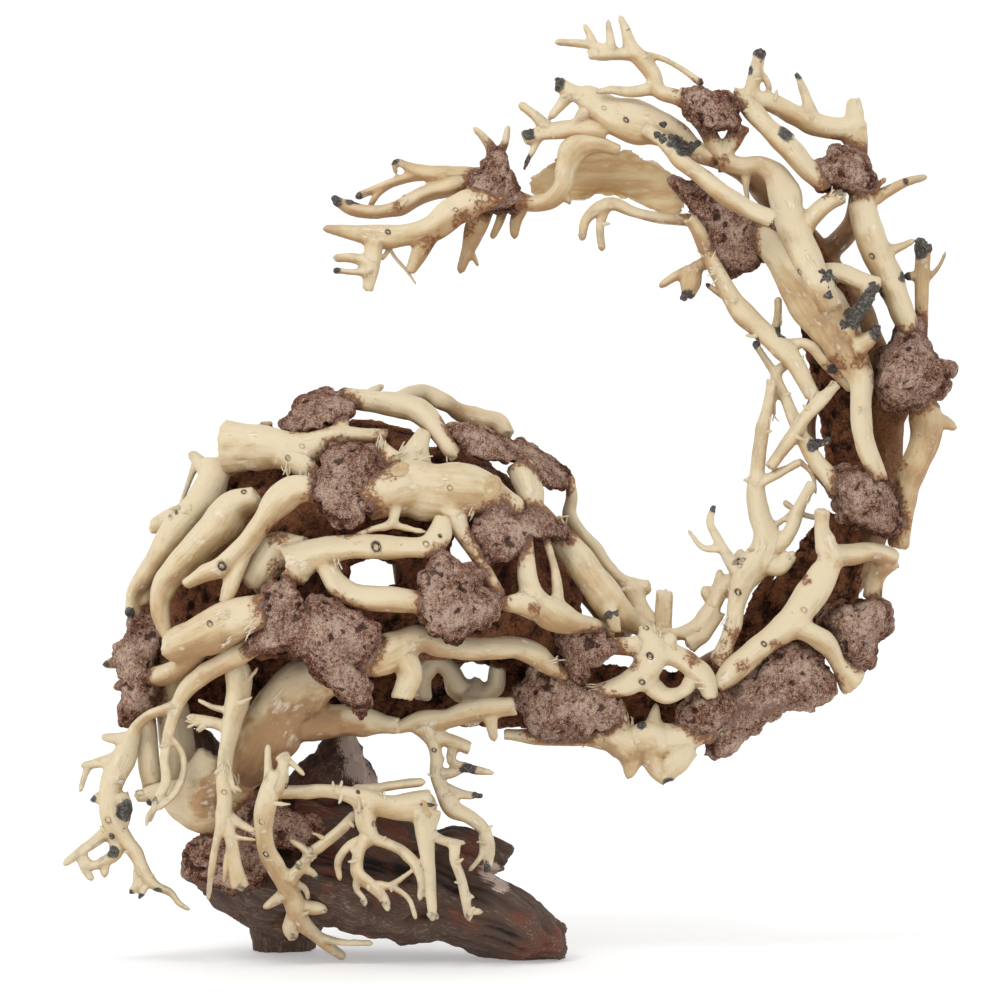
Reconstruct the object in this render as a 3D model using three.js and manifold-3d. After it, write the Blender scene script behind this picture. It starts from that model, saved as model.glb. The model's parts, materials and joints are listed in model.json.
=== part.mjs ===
// Aquarium root wood: pale root sticks set in lumps of sandy putty, on a dark driftwood base.
// Millimetres, +Z up. The front of the piece faces -Y. The origin is the bottom centre of the box
// around the whole piece, so the base stands on z = 0.

import * as THREE from "three";
import { mergeVertices } from "three/addons/utils/BufferGeometryUtils.js";
import Module from "manifold-3d";

const wasm = await Module();
wasm.setup();

// Clearance kept between two separate pieces.
const gap = 0.3;

// How far a station may lie off a plain taper and still be left out.
const stationSlack = 2.2;

// How far the facets of each kind of piece may move to save small ones, and after the last cut.
const facetSlack = 0.6;
const driftwoodSlack = 2;
const puttySlack = 0.1;
const barkSlack = 0.02;
const cleanSlack = 0.03;

// The stick points below give where a stick shows from the front, seen level from this eye.
const eye = { x: -5, z: 230, distance: 2000 };

// Height of the ground below the base, on the same scale as the stick points.
const groundZ = 1.2;

// The hollow body that the sticks lie on: one wide dome, then a tube that runs on from the dome
// through the keel, up the column and back over the top to the free tip.
const dome = { x: -75, z: 165, width: 130, height: 122, depth: 76 };
const tube = [
  { x: -10, z: 145, width: 38, depth: 44 },
  { x: 50, z: 130, width: 36, depth: 36 },
  { x: 105, z: 132, width: 34, depth: 32 },
  { x: 150, z: 165, width: 38, depth: 32 },
  { x: 176, z: 208, width: 28, depth: 28 },
  { x: 190, z: 252, width: 30, depth: 28 },
  { x: 186, z: 298, width: 36, depth: 30 },
  { x: 164, z: 338, width: 38, depth: 32 },
  { x: 138, z: 378, width: 38, depth: 32 },
  { x: 104, z: 408, width: 34, depth: 30 },
  { x: 60, z: 405, width: 28, depth: 26 },
];

const finishes = {
  root: { color: 0xdccba4, roughness: 0.72, metalness: 0 },
  bark: { color: 0xc59f66, roughness: 0.7, metalness: 0 },
  putty: { color: 0x8d7169, roughness: 0.95, metalness: 0 },
  lining: { color: 0x5a2f1d, roughness: 0.98, metalness: 0 },
  driftwood: { color: 0x4a3a33, roughness: 0.85, metalness: 0 },
};

// A point given by where it shows from the front and how deep it lies behind the middle plane.
function placed(x, z, y) {
  const spread = 1 + y / eye.distance;
  return new THREE.Vector3(eye.x + (x - eye.x) * spread, y, eye.z + (z - eye.z) * spread);
}

// Half the thickness of the hollow body behind a point of the front view.
function bodyDepth(x, z) {
  const acrossDome = Math.hypot((x - dome.x) / dome.width, (z - dome.z) / dome.height);
  let depth = dome.depth * Math.sqrt(Math.max(0, 1 - acrossDome ** 2));
  for (let i = 0; i + 1 < tube.length; i++) {
    const a = tube[i];
    const b = tube[i + 1];
    const run = new THREE.Vector2(b.x - a.x, b.z - a.z);
    const along = new THREE.Vector2(x - a.x, z - a.z).dot(run) / run.lengthSq();
    const t = THREE.MathUtils.clamp(along, 0, 1);
    const distance = Math.hypot(x - a.x - run.x * t, z - a.z - run.y * t);
    const width = THREE.MathUtils.lerp(a.width, b.width, t);
    const side = Math.sqrt(Math.max(0, 1 - (distance / width) ** 2));
    depth = Math.max(depth, THREE.MathUtils.lerp(a.depth, b.depth, t) * side);
  }
  return depth;
}

// A limb from points [x, z, radius] or [x, z, radius, y]. A point with no y keeps the last one.
function limb(y, ...points) {
  let depth = y;
  return points.map(([x, z, radius, own]) => {
    depth = own ?? depth;
    return { at: placed(x, z, depth), radius };
  });
}

// A limb that lies on the front of the hollow body, lifted towards the viewer.
function onFront(lift, ...points) {
  return points.map(([x, z, radius]) => ({ at: placed(x, z, -bodyDepth(x, z) - lift), radius }));
}

// A limb that lies on the back of the hollow body.
function onBack(lift, ...points) {
  return points.map(([x, z, radius]) => ({ at: placed(x, z, bodyDepth(x, z) + lift), radius }));
}

function toSolid(geometry) {
  geometry.deleteAttribute("normal");
  geometry.deleteAttribute("uv");
  const merged = mergeVertices(geometry, 1e-3);
  return new wasm.Manifold(new wasm.Mesh({
    numProp: 3,
    vertProperties: new Float32Array(merged.attributes.position.array),
    triVerts: new Uint32Array(merged.index.array),
  }));
}

function toGeometry(solid) {
  const mesh = solid.getMesh();
  const geometry = new THREE.BufferGeometry();
  geometry.setAttribute("position", new THREE.BufferAttribute(mesh.vertProperties, 3));
  geometry.setIndex(new THREE.BufferAttribute(mesh.triVerts, 1));
  geometry.computeVertexNormals();
  return geometry;
}

// How many sides a limb of this radius has.
function sidesFor(radius) {
  if (radius > 9) return 6;
  if (radius > 6.5) return 5;
  return radius > 4 ? 4 : 3;
}

// Stations that a straight, evenly tapered run between their neighbours already gives are left out.
function thinned(stations) {
  const kept = [stations[0]];
  for (let i = 1; i + 1 < stations.length; i++) {
    const a = kept[kept.length - 1];
    const b = stations[i + 1];
    const run = new THREE.Line3(a.at, b.at);
    const t = run.closestPointToPointParameter(stations[i].at, true);
    const aside = run.at(t, new THREE.Vector3()).distanceTo(stations[i].at);
    const swell = Math.abs(THREE.MathUtils.lerp(a.radius, b.radius, t) - stations[i].radius);
    if (aside + swell > stationSlack) kept.push(stations[i]);
  }
  kept.push(stations[stations.length - 1]);
  return kept;
}

// A tapered, slightly uneven stick: a closed cylinder bent along its stations. The section can be
// stretched front to back, and the whole can be grown to give the clearance for a neighbour.
function stick(allStations, { grow = 0, stretch = 1 } = {}) {
  const stations = thinned(allStations);
  const last = stations.length - 1;
  const sides = sidesFor(Math.max(...stations.map((s) => s.radius)));
  const geometry = new THREE.CylinderGeometry(1, 1, 1, sides, last);
  const points = stations.map((s) => s.at.clone());
  const tangents = points.map((p, i) => {
    const before = points[Math.max(0, i - 1)];
    return points[Math.min(last, i + 1)].clone().sub(before).normalize();
  });
  points[0].addScaledVector(tangents[0], -grow);
  points[last].addScaledVector(tangents[last], grow);
  const across = [];
  for (let i = 0; i <= last; i++) {
    const hint = i ? across[i - 1] : new THREE.Vector3(0.31, 0.9, 0.17);
    const level = hint.clone().addScaledVector(tangents[i], -hint.dot(tangents[i]));
    across.push(level.normalize());
  }
  const position = geometry.attributes.position;
  for (let v = 0; v < position.count; v++) {
    const x = position.getX(v);
    const z = position.getZ(v);
    const i = Math.round((position.getY(v) + 0.5) * last);
    const uneven = 1 + 0.09 * Math.sin(3 * Math.atan2(x, z) + 2.3 * i + stations[0].radius);
    const reach = stations[i].radius * uneven + grow;
    const third = across[i].clone().cross(tangents[i]);
    const offset = across[i].clone().multiplyScalar(x * reach).addScaledVector(third, z * reach);
    offset.y *= stretch;
    position.setXYZ(v, ...points[i].clone().add(offset).toArray());
  }
  return toSolid(geometry);
}

// Fractions of the outline and of the thickness for the rings of a lump, front to back. A lump
// that wraps right round its sticks, and a dished sheet, have a full back as well.
const lumpRings = [
  { reach: 0, rise: -1 },
  { reach: 0.7, rise: -0.85 },
  { reach: 1, rise: 0.1 },
  { reach: 0, rise: 0.9 },
];
const wrappingRings = [
  { reach: 0, rise: -1 },
  { reach: 0.7, rise: -0.85 },
  { reach: 1, rise: 0 },
  { reach: 0.7, rise: 0.85 },
  { reach: 0, rise: 1 },
];

// A lump with a hand-given outline of [x, z] points. Its middle sheet is at the depth that
// depthAt gives, dished backwards by dish at its centre.
function lump({ depthAt, thickness, dish = 0, wraps = false, outline }, grow = 0) {
  const rings = wraps ? wrappingRings : lumpRings;
  const count = outline.length;
  const area = outline.reduce((sum, [x, z], i) => {
    const [nextX, nextZ] = outline[(i + 1) % count];
    return sum + x * nextZ - nextX * z;
  }, 0);
  const ring = area > 0 ? outline : [...outline].reverse();
  const centreX = ring.reduce((sum, [x]) => sum + x, 0) / count;
  const centreZ = ring.reduce((sum, [, z]) => sum + z, 0) / count;
  const geometry = new THREE.SphereGeometry(1, count, rings.length - 1);
  const position = geometry.attributes.position;
  for (let v = 0; v < position.count; v++) {
    const { reach, rise } = rings[Math.floor(v / (count + 1))];
    const [edgeX, edgeZ] = ring[v % (count + 1) % count];
    const spread = reach * (1 + grow / Math.hypot(edgeX - centreX, edgeZ - centreZ));
    const x = centreX + (edgeX - centreX) * spread;
    const z = centreZ + (edgeZ - centreZ) * spread;
    const y = depthAt(x, z) + dish * (1 - reach ** 2) + rise * (thickness + grow);
    position.setXYZ(v, ...placed(x, z, y).toArray());
  }
  return toSolid(geometry);
}

const level = (y) => () => y;
const frontSkin = (lift) => (x, z) => -bodyDepth(x, z) - lift;
const backSkin = (lift) => (x, z) => bodyDepth(x, z) + lift;

// The free tip of the arc, at the upper left.
const tipRoots = {
  tip_root_lower: [
    limb(-7, [0, 381, 4], [-15, 380, 6.6], [-27, 375, 7.4], [-38, 366, 6], [-50, 363, 5.2],
      [-64, 362, 5], [-77, 363.5, 3.6], [-93, 366, 1.8]),
    limb(-8, [-68, 361, 4], [-69, 350, 4], [-71, 335, 2.6]),
    limb(-9, [-69, 348, 3], [-78, 351, 2.4], [-88, 351, 1.8]),
    limb(-9, [-70, 344, 2.6], [-80, 344, 1.7], [-88, 345, 1.7]),
    limb(-6, [-40, 363, 4], [-46, 352, 3.6], [-50, 344, 2.4]),
  ],
  tip_root_upper: [
    limb(6, [-8, 391, 3.6], [-28, 387, 5], [-45, 382, 5], [-57, 376, 4.2, 2], [-70, 374, 3.5],
      [-80, 376, 3.2], [-89, 381, 2]),
    limb(8, [-9, 392, 4], [-30, 393, 4.5], [-43, 393.5, 4.2], [-50, 396, 2.8], [-57, 400, 1.5]),
    limb(8, [-44, 393, 3], [-55, 390, 2.6], [-66, 386, 2.3], [-77, 381.5, 1.8, 10]),
    limb(8, [-60, 388, 2], [-66, 383, 1.8], [-70, 377, 1.5]),
    limb(5, [-11, 394, 3], [-9, 405, 2.8], [-13, 411, 2.2], [-18, 416, 1.6]),
    limb(5, [-9, 399, 2.6], [-3, 407, 2.4], [-1, 417, 1.6]),
  ],
  tip_root_hanging: [
    limb(9, [-12, 379, 4.4], [-17, 367, 5.6], [-21, 355, 3.4], [-25, 344, 2]),
    limb(9, [-14, 378, 4], [-3, 379, 4], [5, 378, 3.6], [3, 369, 3], [2, 361, 1.8]),
    limb(9, [-3, 379, 2.6], [-5, 370, 2.2], [-9, 361, 1.6]),
  ],
  wishbone_root: [
    limb(-5, [3, 380, 4], [12, 378, 4], [20, 380, 4.2], [26, 386, 4.6], [28, 396, 5],
      [33, 406, 6], [42, 408, 4.5], [55, 405, 2.5]),
    limb(-5, [26, 386, 2.6], [30, 378, 1.4]),
  ],
};

// The upper arc, from the two antlers to the neck.
const arcRoots = {
  arch_root: [
    limb(-6, [24, 438, 2.6], [33, 433, 3.6], [41, 430, 5.4], [51, 423, 8.5], [61, 419, 10],
      [72, 417, 8.5], [83, 413, 6.5], [92, 406, 5], [103, 400, 4, -10]),
    limb(-6, [31, 434, 3], [25, 427, 2.4], [20, 421, 1.8]),
    limb(-6, [42, 429, 3], [36, 422, 2.7], [32, 418, 1.8]),
    limb(-4, [7, 411, 2.8], [20, 414, 3.8], [33, 416, 4.6], [47, 416, 6]),
    limb(-4, [5, 428, 1.8], [14, 421, 2.5], [20, 415, 3]),
    limb(-14, [69, 415, 2.8], [76, 410, 3.2, -18], [84, 401, 3.8, -24], [97, 391, 4.4, -30],
      [108, 382, 4.6, -34], [122, 374, 4.8, -35], [131, 370, 4.6, -35]),
  ],
  antler_left: [
    limb(-15, [97, 422, 4], [84, 431, 4.2], [74, 435, 4.2], [72, 442, 4.5], [66, 450, 4.2],
      [61, 456, 3.6], [58, 465, 2.2], [55, 472, 1.4]),
    limb(-15, [63, 453, 3.4], [52, 453, 3], [40, 453, 2.8]),
    limb(-15, [50, 455, 2.4], [37, 458, 2.3], [23, 459, 1.8]),
    limb(-15, [43, 455, 2], [40, 462, 1.8], [37, 468, 1.2]),
    limb(-15, [51, 454, 2.4], [50, 462, 2], [49, 470, 1.2]),
    limb(-15, [72, 436, 3], [60, 434, 2.5], [50, 435, 2], [43, 434, 1.2]),
    limb(-15, [64, 453, 1.8], [75, 451, 1.4], [85, 446, 1.4], [96, 438, 1.8]),
  ],
  antler_right: [
    limb(-5, [125, 454, 2.8], [123, 445, 3.4], [120, 432, 4]),
    limb(-5, [123, 445, 1.8], [128, 440, 1.6], [130, 434, 1.4]),
    limb(-5, [112, 431, 3.6], [130, 429, 4.2], [142, 423, 4.6], [152, 418, 5], [163, 416, 4.8],
      [171, 417, 5], [172, 430, 3.4]),
    limb(-5, [152, 419, 4], [149, 428, 2.8], [146, 437, 2.1], [143, 444, 1.2]),
    limb(-5, [171, 416, 5], [173, 407, 5], [172, 394, 4.6]),
    limb(-5, [117, 430, 4], [125, 420, 5, -14], [133, 412, 5.5, -20], [141, 404, 6, -22],
      [148, 396, 5.5, -20], [157, 387, 4.6, -16]),
    limb(-22, [141, 404, 3.4], [139, 412, 1.6]),
  ],
  trunk_upper: [
    limb(-12, [96, 420, 3.8], [100, 412, 3.8], [105, 402, 3.8]),
    limb(-12, [115, 417, 3.8], [111, 409, 3.8], [105, 401, 3.8]),
    limb(-12, [105, 399, 3.8], [115, 397, 4], [125, 397, 4.8], [132, 393, 6], [136, 385, 6.8, -14],
      [140, 372, 7.2, -18], [144, 360, 7.4, -23], [150, 348, 7, -28], [156, 335, 6, -31],
      [160, 325, 4, -30]),
    limb(-20, [143, 362, 5.6], [150, 370, 5], [157, 377, 4.6], [165, 382, 5]),
  ],
  underside_root: [
    limb(-2, [90, 370, 3], [75, 371, 3], [62, 374, 3], [50, 378, 3.4], [43, 375, 3],
      [38, 370, 2.4], [36, 360, 1.8]),
    limb(-2, [48, 378, 2.6], [45, 367, 2], [46, 355, 1.8]),
  ],
};

// The column on the right.
const columnRoots = {
  trunk_main: [
    limb(-18, [120, 366, 4, -4], [128, 359, 7.5, -10], [138, 350, 10.5, -15], [149, 337, 12],
      [158, 323, 12], [165, 311, 10], [171, 300, 8], [175, 289, 5], [175, 275, 4.6],
      [177, 260, 4.6], [184, 240, 4.6]),
    limb(-20, [150, 340, 6], [165, 344, 4.4], [176, 339, 5.2], [184, 337, 5.4]),
    limb(-24, [166, 314, 5], [172, 321, 4.4], [177, 328, 4.2], [181, 334, 3.2]),
    limb(-26, [160, 326, 5], [158, 337, 4], [157, 343, 3]),
    limb(-22, [172, 306, 5], [180, 311, 4], [184, 316, 2.8]),
  ],
  strut_right: [
    limb(-9, [175, 389, 4.6], [177, 373, 7], [181, 360, 8], [187, 345, 7.5], [193, 332, 7],
      [200, 314, 6]),
    limb(-9, [190, 355, 2.6], [196, 357, 2], [202, 360, 1.5]),
    limb(-9, [178, 379, 3.6], [188, 384, 2.8], [198, 389, 2.3], [208, 391.5, 1.8]),
  ],
  peg_right: [
    limb(4, [206, 357, 3.4], [206, 345, 4], [206, 331, 3.5], [206, 311, 3]),
    limb(4, [207, 339, 1.8], [214, 346, 1.2], [218, 354, 1]),
    limb(4, [207, 342, 2], [197, 342, 1.8]),
  ],
  inner_long_root: [
    limb(-6, [90, 371, 3, -17], [95, 363, 4, -17], [99, 354, 4.2, -13], [104, 344, 4],
      [109, 334, 4.6], [116, 324, 5], [124, 316, 5],
      [132, 309, 5], [139, 303, 4.8], [146, 292, 4], [151, 282, 3.4]),
    limb(-6, [110, 331, 2.4], [104, 334, 1.9], [98, 338, 1.4]),
    limb(-6, [101, 350, 3.4], [92, 346, 3], [83, 342, 2.5], [75, 337, 2]),
    limb(-6, [91, 346, 4], [90, 338, 4.6], [89, 331, 3]),
    limb(-6, [134, 331, 1.6], [134, 323, 1.9], [132, 312, 2.2]),
    limb(-8, [136, 307, 3], [148, 308, 2.6, -14], [158, 298, 2.5, -12], [171, 285, 2.2, -8]),
    limb(-8, [141, 300, 2.4], [133, 293, 2.6], [138, 280, 2.8], [144, 266, 3.2, -14],
      [150, 254, 3.6], [165, 235, 4.4]),
    limb(-8, [122, 309, 1.7], [128, 300, 1.9], [134, 291, 2.4]),
    limb(-16, [163, 288, 2.5], [156, 280, 3.6], [149, 273, 3.6], [142, 263, 3.4],
      [135, 253, 3], [130, 246, 2.6]),
  ],
  column_left_root: [
    limb(-13, [131, 290, 2.4], [129, 277, 2.8], [126, 262, 3.2], [124, 248, 3.4], [123, 234, 4],
      [125, 221, 5], [128, 212, 6, -16], [126, 204, 6.5], [121, 196, 7], [116, 188, 6, -20],
      [113, 178, 5], [111, 167, 4.6], [107, 156, 4.8], [103, 148, 5]),
    limb(-20, [115, 193, 3.6], [108, 203, 2.8], [103, 212, 2.4], [100, 219, 2.1], [102, 227, 1.4]),
    limb(-20, [106, 206, 2.2], [97, 206, 1.7], [89, 215, 1.1]),
    limb(-16, [128, 206, 4.4], [136, 209, 4], [141, 216, 3.6], [145, 227, 3.4], [151, 238, 3]),
    limb(-16, [127, 199, 4.6], [134, 197, 4.4], [140, 202, 3.2]),
    limb(-14, [123, 238, 2.8], [134, 243, 2.4], [145, 249, 2.2]),
    limb(-14, [70, 164, 2.6], [84, 163, 3], [95, 168, 4], [101, 176, 4.4], [107, 187, 4.4],
      [115, 192, 4]),
    limb(-14, [89, 158, 3.6], [97, 165, 4], [104, 175, 4.2]),
    limb(-8, [76, 160, 4.4], [77, 184, 4.2]),
    limb(-12, [97, 186, 2.2], [101, 180, 3], [104, 188, 2.4], [105, 195, 1.6]),
  ],
  spine_root: [
    limb(3, [205, 282, 6.4], [208, 270, 8], [207, 260, 8], [203, 249, 7.2], [199, 238, 6.6],
      [196, 226, 6], [194, 207, 5]),
    limb(3, [209, 268, 5.6], [216, 269, 3.8], [223, 266, 1.8]),
    limb(3, [212, 271, 3], [214, 278, 1.6]),
  ],
};

// The elbow at the lower right and the keel under the belly.
const keelRoots = {
  y_root: [
    limb(-24, [156, 225, 2.8], [156, 215, 3.4], [158, 207, 4.6], [160, 199, 6], [157, 193, 6.8],
      [152, 185, 7], [146, 176, 7], [139, 167, 6.6], [130, 160, 6.2], [120, 152, 6],
      [111, 144, 6], [104, 137, 5]),
    limb(-24, [159, 202, 5.4], [171, 203, 5, -18], [182, 204, 5, -12], [192, 201, 4.8, -8]),
    limb(-24, [142, 167, 5], [151, 163, 5], [159, 157, 5, -20], [164, 149, 4, -16],
      [172, 138, 7, -10]),
    limb(-8, [190, 200, 4.8], [183, 191, 5, -4], [181, 180, 4.6, -4]),
  ],
  pelvis_root: [
    limb(-30, [40, 133, 3.4], [52, 135.5, 5], [63, 140, 7.5], [70, 148, 8.5], [71, 158, 6.5],
      [67, 167, 3]),
    limb(-30, [72, 155, 6], [82, 152, 5.2], [90, 147, 5.4], [97, 141, 5.6], [100, 131, 4.6]),
    limb(-30, [68, 140, 5], [78, 132, 3.8], [86, 134, 3], [92, 142, 4]),
    limb(-30, [76, 155, 4], [81, 162, 2.8]),
    limb(-30, [67, 157, 5], [56, 157, 4.6], [46, 157, 4.2]),
  ],
  keel_root: [
    limb(-20, [-3, 113, 2.4], [12, 111.5, 4], [27, 110.5, 4.2], [41, 111, 5.2], [53, 110, 8],
      [60, 104, 7], [60, 97, 4.4], [59, 91, 1.8]),
    limb(-21, [52, 110, 6], [56, 121, 3.4], [56, 129, 1.5]),
    limb(-20, [60, 108, 6], [72, 110, 8.5], [71, 102, 6.5], [73, 95, 4.4], [78, 89, 2.4]),
    limb(-20, [72, 113, 6.4], [72, 120, 3.6], [73, 128, 1.6]),
    limb(-20, [74, 110, 7], [86, 111, 7.4], [97, 113, 5.4], [103, 121, 4], [105, 129, 2.6]),
    limb(-20, [88, 108, 6], [83, 100, 6.6], [78, 93, 4.4]),
    limb(-20, [98, 113, 5], [112, 120, 4.6], [122, 127, 7], [131, 131, 7], [140, 132, 4.6]),
  ],
  belt_root: [
    limb(-48, [-78, 147, 4, -78], [-66, 152, 8, -74], [-54, 158, 7.4, -68], [-44, 161, 6, -64],
      [-36, 158, 5, -58], [-24, 156, 5.2, -52], [-10, 155.5, 5.6, -46], [3, 156, 5.6, -42],
      [11, 153, 5.6, -40], [18, 148, 5, -37], [27, 142, 4, -34]),
    limb(-70, [-55, 153, 5.4], [-50, 143, 5], [-54, 131, 5]),
  ],
  belly_root: [
    limb(-36, [-57, 116, 2.6], [-44, 120, 5], [-32, 120.5, 5.4], [-21, 124, 6], [-11, 126, 5.6],
      [2, 127, 4.4]),
    limb(-36, [-10, 121, 3], [-8, 110, 1.8]),
    limb(-36, [-43, 117, 4.8], [-38.5, 109, 3.6], [-37, 101, 3.1], [-37, 93, 3.2], [-33.5, 84, 4],
      [-29, 76, 4.6], [-20.5, 71.5, 3.9], [-13, 65, 3.2], [-10.5, 56, 2.6], [-11.5, 43, 1.7]),
    limb(-36, [-13.5, 63, 2], [-14.5, 52, 1.4], [-20.5, 44.5, 1.2]),
    limb(-36, [-40, 112, 3.4], [-31, 110, 3], [-20, 106, 2.8]),
    limb(-36, [-28, 108, 2.1], [-29, 99, 2.1], [-21, 96, 2.3], [-8, 93.5, 1.2]),
    limb(-36, [-37, 93.5, 2.4], [-29, 93.5, 2.4], [-24, 95.5, 2]),
    limb(-36, [-34, 86, 2.6], [-25, 83, 2.3], [-14, 82, 1.6]),
    limb(-34, [-20, 123, 5.4], [-17, 137, 5, -14]),
    limb(-18, [-44, 131, 3.6], [-43, 145, 5], [-36, 150, 4.4], [-30, 145, 5], [-25, 136, 6],
      [-16, 133, 5], [-8, 136, 4.6], [-6, 146, 4.4]),
  ],
};

// The dome: sticks that lie over its front from the crown to the rim.
const domeRoots = {
  broad_root: [
    onFront(2, [-74, 229, 7], [-62, 233, 11], [-50, 236, 12.6], [-38, 235, 12.6],
      [-26, 234, 12], [-15, 232, 10.6], [-4, 228, 7.6], [6, 224, 4.6]),
    onFront(0, [-30, 226, 6], [-24, 214, 4.6], [-17, 203, 3.8], [-11, 192, 3.5], [-5, 182, 3]),
    onFront(2, [-58, 246, 6.4], [-66, 255, 5.4]),
    onFront(0, [-50, 245, 7.4], [-46, 257, 4.6], [-43, 264, 3.2]),
  ],
  dome_top_root: [
    onFront(0, [-82, 281, 4], [-70, 280, 6], [-58, 278, 7], [-48, 275, 7], [-40, 269, 6],
      [-34, 261, 5], [-28, 252, 3.8]),
    limb(6, [-56, 279, 4, -24], [-50, 283, 3.4, -14], [-41, 283, 4, -4], [-33, 279, 4],
      [-24, 273, 4.2, 10], [-14, 270, 5, 10], [-6, 269, 5, 8], [-1, 263, 3.4, 4]),
  ],
  dome_cut_root: [
    onFront(0, [-141, 257, 9.4], [-128, 257, 9.8], [-113, 256, 8.5], [-99, 257, 6.6],
      [-87, 262, 5], [-75, 262, 4], [-62, 262, 3.4]),
    onFront(0, [-113, 253, 6], [-104, 247, 4.5], [-95, 241, 3]),
    onFront(0, [-86, 261, 4], [-84, 272, 3.6]),
  ],
  h_root: [
    onFront(0, [7, 212, 3.8], [8, 200, 4.4], [9, 190, 5], [12, 181, 6], [19, 174, 7.2],
      [30, 169, 6.2], [40, 167, 4.4], [50, 163, 3.4]),
    onFront(2, [5, 247, 5.4], [9, 237, 6.6], [12, 227, 5], [16, 217, 2.6], [20, 204, 2.1],
      [23, 192, 2.4], [24, 177, 4]),
    onFront(0, [12, 178, 6], [3, 178, 4.4], [-7, 178, 3]),
  ],
  outer_root: [
    limb(-6, [30, 241, 2.4], [31, 231, 3.4], [30, 223, 4], [35, 214, 4], [42, 206, 4.2],
      [48, 197, 4], [55, 190, 4], [62, 186.5, 4.4], [70, 186.5, 3.4]),
    limb(-8, [60, 186, 4.2], [65, 176, 4], [70, 168, 4]),
    limb(-30, [22, 220, 3], [26, 211, 5.4], [33, 202, 6.8, -32], [41, 191, 7.2, -32],
      [48, 182, 8, -28], [55, 174, 7, -22], [62, 168, 5, -14], [71, 165, 3.6, -9]),
    limb(-30, [48, 177, 4], [51, 172, 3.4, -34], [53, 164, 2.4, -34]),
  ],
  mid_root: [
    onFront(3, [-109, 197, 8], [-98, 203, 6.6], [-84, 206, 6], [-67, 206.5, 6], [-52, 206, 5.6],
      [-41, 207, 5.6], [-36, 213, 6], [-34, 221, 4]),
    onFront(3, [-108, 196, 6.6], [-104, 189, 3.6]),
    onFront(-4, [-106, 204, 6], [-116, 207, 6.4], [-123, 197, 7], [-130, 187, 5]),
    onFront(3, [-93, 201, 4], [-89, 191, 4.6], [-80, 183, 5.6], [-66, 180, 6], [-52, 179.5, 6],
      [-41, 178, 4.6]),
  ],
  left_outer_root: [
    onFront(-10, [-146, 248, 6], [-149, 238, 7.2], [-155, 228, 7.5], [-163, 219, 8],
      [-170, 210, 7.4], [-176, 201, 6.2], [-182, 193, 5.2], [-188, 184, 4], [-190, 173, 3]),
    limb(-30, [-163, 219, 6], [-171, 219.5, 5, -22], [-179, 216.5, 2.8, -18]),
    limb(-26, [-149, 239, 5.6], [-154, 248, 4, -22], [-159, 253, 2.6, -18]),
    limb(-22, [-185, 189, 4], [-183, 180, 4.2], [-180, 188, 3.4]),
    limb(-22, [-187, 178, 3.4], [-186, 152, 4, -26], [-183, 126, 5, -28], [-181, 112, 6],
      [-180.5, 98, 6.2], [-179, 87, 5.2]),
  ],
  left_upper_root: [
    onFront(2, [-126, 231, 4.6], [-137, 227, 8], [-146, 217, 9.4], [-155, 207, 8.8],
      [-164, 198, 8], [-172, 189, 7], [-175, 179, 5.6], [-174, 169, 4.4], [-171, 161, 3]),
    limb(-27, [-172, 166, 3.6], [-171, 146, 5, -20], [-169, 126, 6.8, -16], [-167, 110, 7.8],
      [-166, 96, 7.8], [-167, 86, 6.4]),
  ],
  hook_root: [
    onFront(10, [-98, 235, 4], [-108, 235, 6.4], [-116, 229, 6.4], [-123, 220, 5.2],
      [-130, 211, 4.8], [-137, 203, 5], [-144, 197, 5], [-153, 193, 4.2], [-162, 188, 3]),
    onFront(7, [-131, 209, 4], [-136, 197, 4.4], [-140, 186, 4], [-143, 178, 2.4]),
  ],
  big_left_root: [
    onFront(5, [-121, 175, 6], [-132, 172, 8.4], [-145, 167, 9.2], [-157, 161, 9.2],
      [-170, 156, 8]),
    limb(-60, [-156, 160, 6.4], [-162, 149, 5, -52], [-171, 143, 5, -40], [-183, 142, 4.6, -26],
      [-194, 149, 4.2, -18], [-203, 147.5, 1.8, -14]),
    limb(-26, [-184, 143, 4], [-192, 138, 3.6, -20], [-198, 136, 1.8, -16]),
  ],
  inner_broad_root: [
    limb(-44, [-86, 145, 7], [-102, 138, 12, -40], [-115, 124, 13.6, -36], [-124, 109, 13.4],
      [-131, 97, 10], [-137, 87, 6]),
    limb(-30, [-56, 117, 3.4, -40], [-68, 119, 6.4, -36], [-82, 120, 8.6], [-96, 118, 8],
      [-110, 116, 6]),
    limb(-34, [-134, 90, 7], [-144, 82, 11.5], [-153, 78, 13], [-162, 79, 10], [-171, 83, 6.4],
      [-180, 83, 4.2], [-187, 81, 2.4]),
    limb(-34, [-150, 103, 4], [-155, 94, 7], [-158, 82, 9]),
  ],
};

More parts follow.
